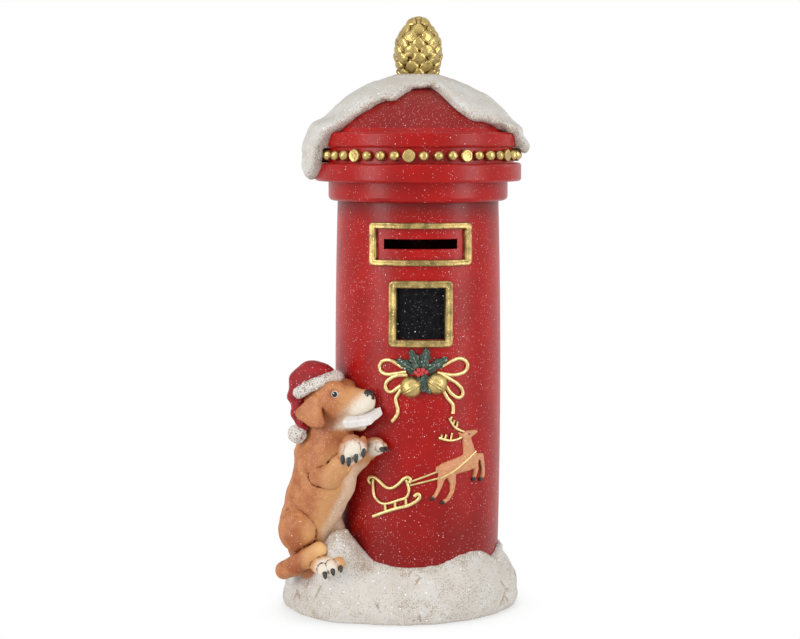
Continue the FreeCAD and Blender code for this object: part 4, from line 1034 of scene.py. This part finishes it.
# Hat: a red cap with a rolled white band, its point hanging behind the ear to a pompom.
# It is cast with the head, painted crimson and dusted; the band and the pompom are stippled rough.
HAT_TILT = math.radians(27.5)
HAT_UP = np.array([-math.sin(HAT_TILT), 0.0, math.cos(HAT_TILT)])
HAT_ON = np.array([math.cos(HAT_TILT), 0.0, math.sin(HAT_TILT)])
HAT_HEART = np.array([-6.6, 0.0, 116.0])
POMPOM = np.array([-11.2, -12.0, 93.2])


def hat_clay(p):
    q = p - HAT_HEART
    local = np.stack([q @ HAT_ON, q[..., 1], q @ HAT_UP], -1)
    form = pare(egg(local, (-0.6, 0, 0), (11.9, 11.8, 12.6)), -2.5 - local[..., 2], 1.0)
    fall = limb_clay(p,
                     [(-10.0, -1.5, 121.5, 6.4), (-14.4, -4.0, 117.6, 5.6), (-14.8, -6.6, 110.5, 4.2),
                      (-12.6, -9.0, 103.5, 3.2),
                         (-9.6, -10.8, 97.0, 3.2)])
    folds = 0.45 * np.sin(0.55 * (p[..., 2] - 0.6 * p[..., 0])) * np.clip((-6.0 - p[..., 0]) / 6.0, 0, 1)
    return meld(form, fall + folds, 3.0) - 0.12 * lumps(p, 3.0, 61)


hat = mould("hat", hat_clay, (-24, -15, 94), (12, 15, 134), 0.65, puppy_place)
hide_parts("santa_hat")
_, shader, _ = painted(
    "hat_red", hat, 0.5, (7.0, (0.23, 0.008, 0.012, 1), (0.40, 0.018, 0.022, 1)), (1.2, 0.25),
    wash=(0.3, 0.9, 0.5, 1.0, (0.10, 0.006, 0.010, 1)), dust=(1.3, 0.46, 0.22, 0.6, (0.85, 0.6, 0.6, 1)))
shader.inputs["Specular IOR Level"].default_value = 0.25


def band_clay(p):
    q = p - HAT_HEART
    lift = q @ HAT_UP
    around = np.hypot(q @ HAT_ON, q[..., 1])
    roll = np.hypot((around - 11.3) * 1.05, lift * 0.86) - 2.75
    return roll - 0.42 * lumps(p, 1.5, 63) - 0.25 * lumps(p, 3.0, 64)


def pompom_clay(p):
    return np.linalg.norm(p - POMPOM, axis=-1) - 4.8 - 0.45 * lumps(p, 1.4, 65) - 0.2 * lumps(p, 2.8, 66)


for name, node, clay, low, high in (("hat_fur_band", "hat_band", band_clay, (-22, -17, 104), (13, 17, 128)),
                                    ("pompom", "hat_pompom", pompom_clay, POMPOM - 6, POMPOM + 6)):
    fluff = mould(name, clay, low, high, 0.45, puppy_place)
    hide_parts(node)
    painted("stippled_white_" + name, fluff, 0.8, (0.7, (0.66, 0.61, 0.55, 1), (0.82, 0.80, 0.77, 1)),
            (0.7, 0.4),
            wash=(0.10, 0.40, 2.6, 1.0, (0.24, 0.13, 0.07, 1)))

# Letter: the thick white envelope held in the puppy's mouth.
# It is cast with the head and left plain white, a little grey at the edges.
LETTER_HEART = np.array([21.0, -3.2, 102.0])
roll, rise = math.radians(18.0), math.radians(11.0)
LETTER_LONG = np.array([math.cos(rise), 0.0, math.sin(rise)])
LETTER_WIDE = np.array([-math.sin(rise) * math.sin(roll), math.cos(roll), math.cos(rise) * math.sin(roll)])
LETTER_FACE = np.cross(LETTER_LONG, LETTER_WIDE)


def letter_clay(p):
    q = p - LETTER_HEART
    a, b = q @ LETTER_LONG, q @ LETTER_WIDE
    c = q @ LETTER_FACE - 0.010 * a * a + 0.35 * np.sin(b * 0.4)
    box = np.stack([abs(a) - 7.3, abs(b) - 6.2, abs(c) - 1.5], -1)
    form = np.linalg.norm(np.maximum(box, 0), axis=-1) + np.minimum(box.max(-1), 0) - 0.5
    flap = abs(a + 2.0 - 0.55 * abs(b)) - 0.22
    return pare(form, -np.maximum(flap, abs(abs(c) - 2.0) - 0.35), 0.3)


letter = mould("envelope", letter_clay, (8, -14, 95), (34, 9, 111), 0.4, puppy_place)
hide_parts("letter")
painted("letter_white", letter, 0.6, (2.2, (0.74, 0.71, 0.68, 1), (0.84, 0.83, 0.82, 1)), (2.2, 0.12),
        wash=(0.45, 1.0, 0.4, 1.0, (0.45, 0.36, 0.30, 1)))

# Stopper: the soft plug under the foot that lets the coins out.
# It is moulded in dark rubbery PVC, with a grip bar across it, and pulls straight down.
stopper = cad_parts["coin_stopper"]
painted("stopper_pvc", stopper, 0.55, (1.5, (0.020, 0.020, 0.021, 1), (0.034, 0.033, 0.032, 1)), (1.5, 0.15))

# Studio: a plain white table and a soft tent of light, seen from a little above the slot.
# Nothing here belongs to the money box.
EYE_DISTANCE, EYE_HEIGHT, EYE_TURN, EYE_PITCH, AXIS_SHIFT = 0.960, 0.2425, -2.0, 5.70, 18.0
LENS, SENSOR = 85.0, 36.0
axis_at = Vector((PILLAR_AXIS[0] / 1000.0, PILLAR_AXIS[1] / 1000.0, 0.0))
turn = math.radians(EYE_TURN)
eye = axis_at + Vector((math.sin(turn), -math.cos(turn), 0.0)) * EYE_DISTANCE + Vector((0, 0, EYE_HEIGHT))
lens = bpy.data.cameras.new("eye")
lens.lens, lens.sensor_width = LENS, SENSOR
camera = bpy.data.objects.new("eye", lens)
camera.location = eye
aside = math.atan(AXIS_SHIFT / (LENS / SENSOR * 800.0))
camera.rotation_euler = (math.radians(90.0 - EYE_PITCH), 0.0, turn + aside)
bpy.context.collection.objects.link(camera)
bpy.context.scene.camera = camera
bpy.context.scene.view_settings.view_transform = "Standard"


def seen_rays(tree):
    """1 for the rays that see the surroundings straight or mirrored, which then are plain white."""
    rays = stage_of(tree, "LightPath", {}, {}).outputs
    seen = reckon("MAXIMUM", rays["Is Camera Ray"], rays["Is Glossy Ray"])
    return reckon("MAXIMUM", seen, rays["Is Transmission Ray"])


table_mesh = bpy.data.meshes.new("table")
table_mesh.from_pydata([(-6, -6, 0), (6, -6, 0), (6, 6, 0), (-6, 6, 0)], [], [(0, 1, 2, 3)])
table = bpy.data.objects.new("table", table_mesh)
bpy.context.collection.objects.link(table)
tree, shader = finish_for("table_white", table, 0.9)
shader.inputs["Base Color"].default_value = (0.9, 0.9, 0.9, 1)
seen = seen_rays(tree)
white = stage_of(tree, "Emission", {}, {"Color": (1, 1, 1, 1), "Strength": 1.0})
ao = stage_of(tree, "AmbientOcclusion", {"samples": 8}, {"Distance": 0.03})
lit = between(ao.outputs["AO"], 0.30, 0.86)
shadow_tone = over(lit, (0.80, 0.79, 0.78, 1), (1, 1, 1, 1))
tree.links.new(shadow_tone, white.inputs["Color"])
mixed = stage_of(tree, "MixShader", {}, {0: seen, 1: shader.outputs[0], 2: white.outputs[0]})
tree.links.new(mixed.outputs[0], tree.nodes["Material Output"].inputs["Surface"])

world = bpy.data.worlds.new("tent")
world.use_nodes = True
bpy.context.scene.world = world
tree = world.node_tree
seen = seen_rays(tree)
fill = tree.nodes["Background"]
fill.inputs["Color"].default_value = (1, 1, 1, 1)
fill.inputs["Strength"].default_value = 0.34
paper = stage_of(tree, "Background", {}, {"Color": (1, 1, 1, 1), "Strength": 1.0})
mixed = stage_of(tree, "MixShader", {}, {0: seen, 1: fill.outputs[0], 2: paper.outputs[0]})
tree.links.new(mixed.outputs[0], tree.nodes["World Output"].inputs["Surface"])


def soft_lamp(name, place, width, height, power):
    light = bpy.data.lights.new(name, "AREA")
    light.shape, light.size, light.size_y, light.energy = "RECTANGLE", width, height, power
    lamp = bpy.data.objects.new(name, light)
    lamp.location = place
    aim = Vector((0.0, 0.0, 0.15)) - Vector(place)
    lamp.rotation_euler = aim.to_track_quat("-Z", "Y").to_euler()
    bpy.context.collection.objects.link(lamp)


soft_lamp("left_panel", (-1.05, -0.75, 0.55), 0.45, 1.1, 11.2)
soft_lamp("right_panel", (1.05, -0.65, 0.50), 0.45, 1.1, 9.2)
soft_lamp("top_panel", (0.0, -0.35, 1.25), 1.0, 0.8, 1.8)
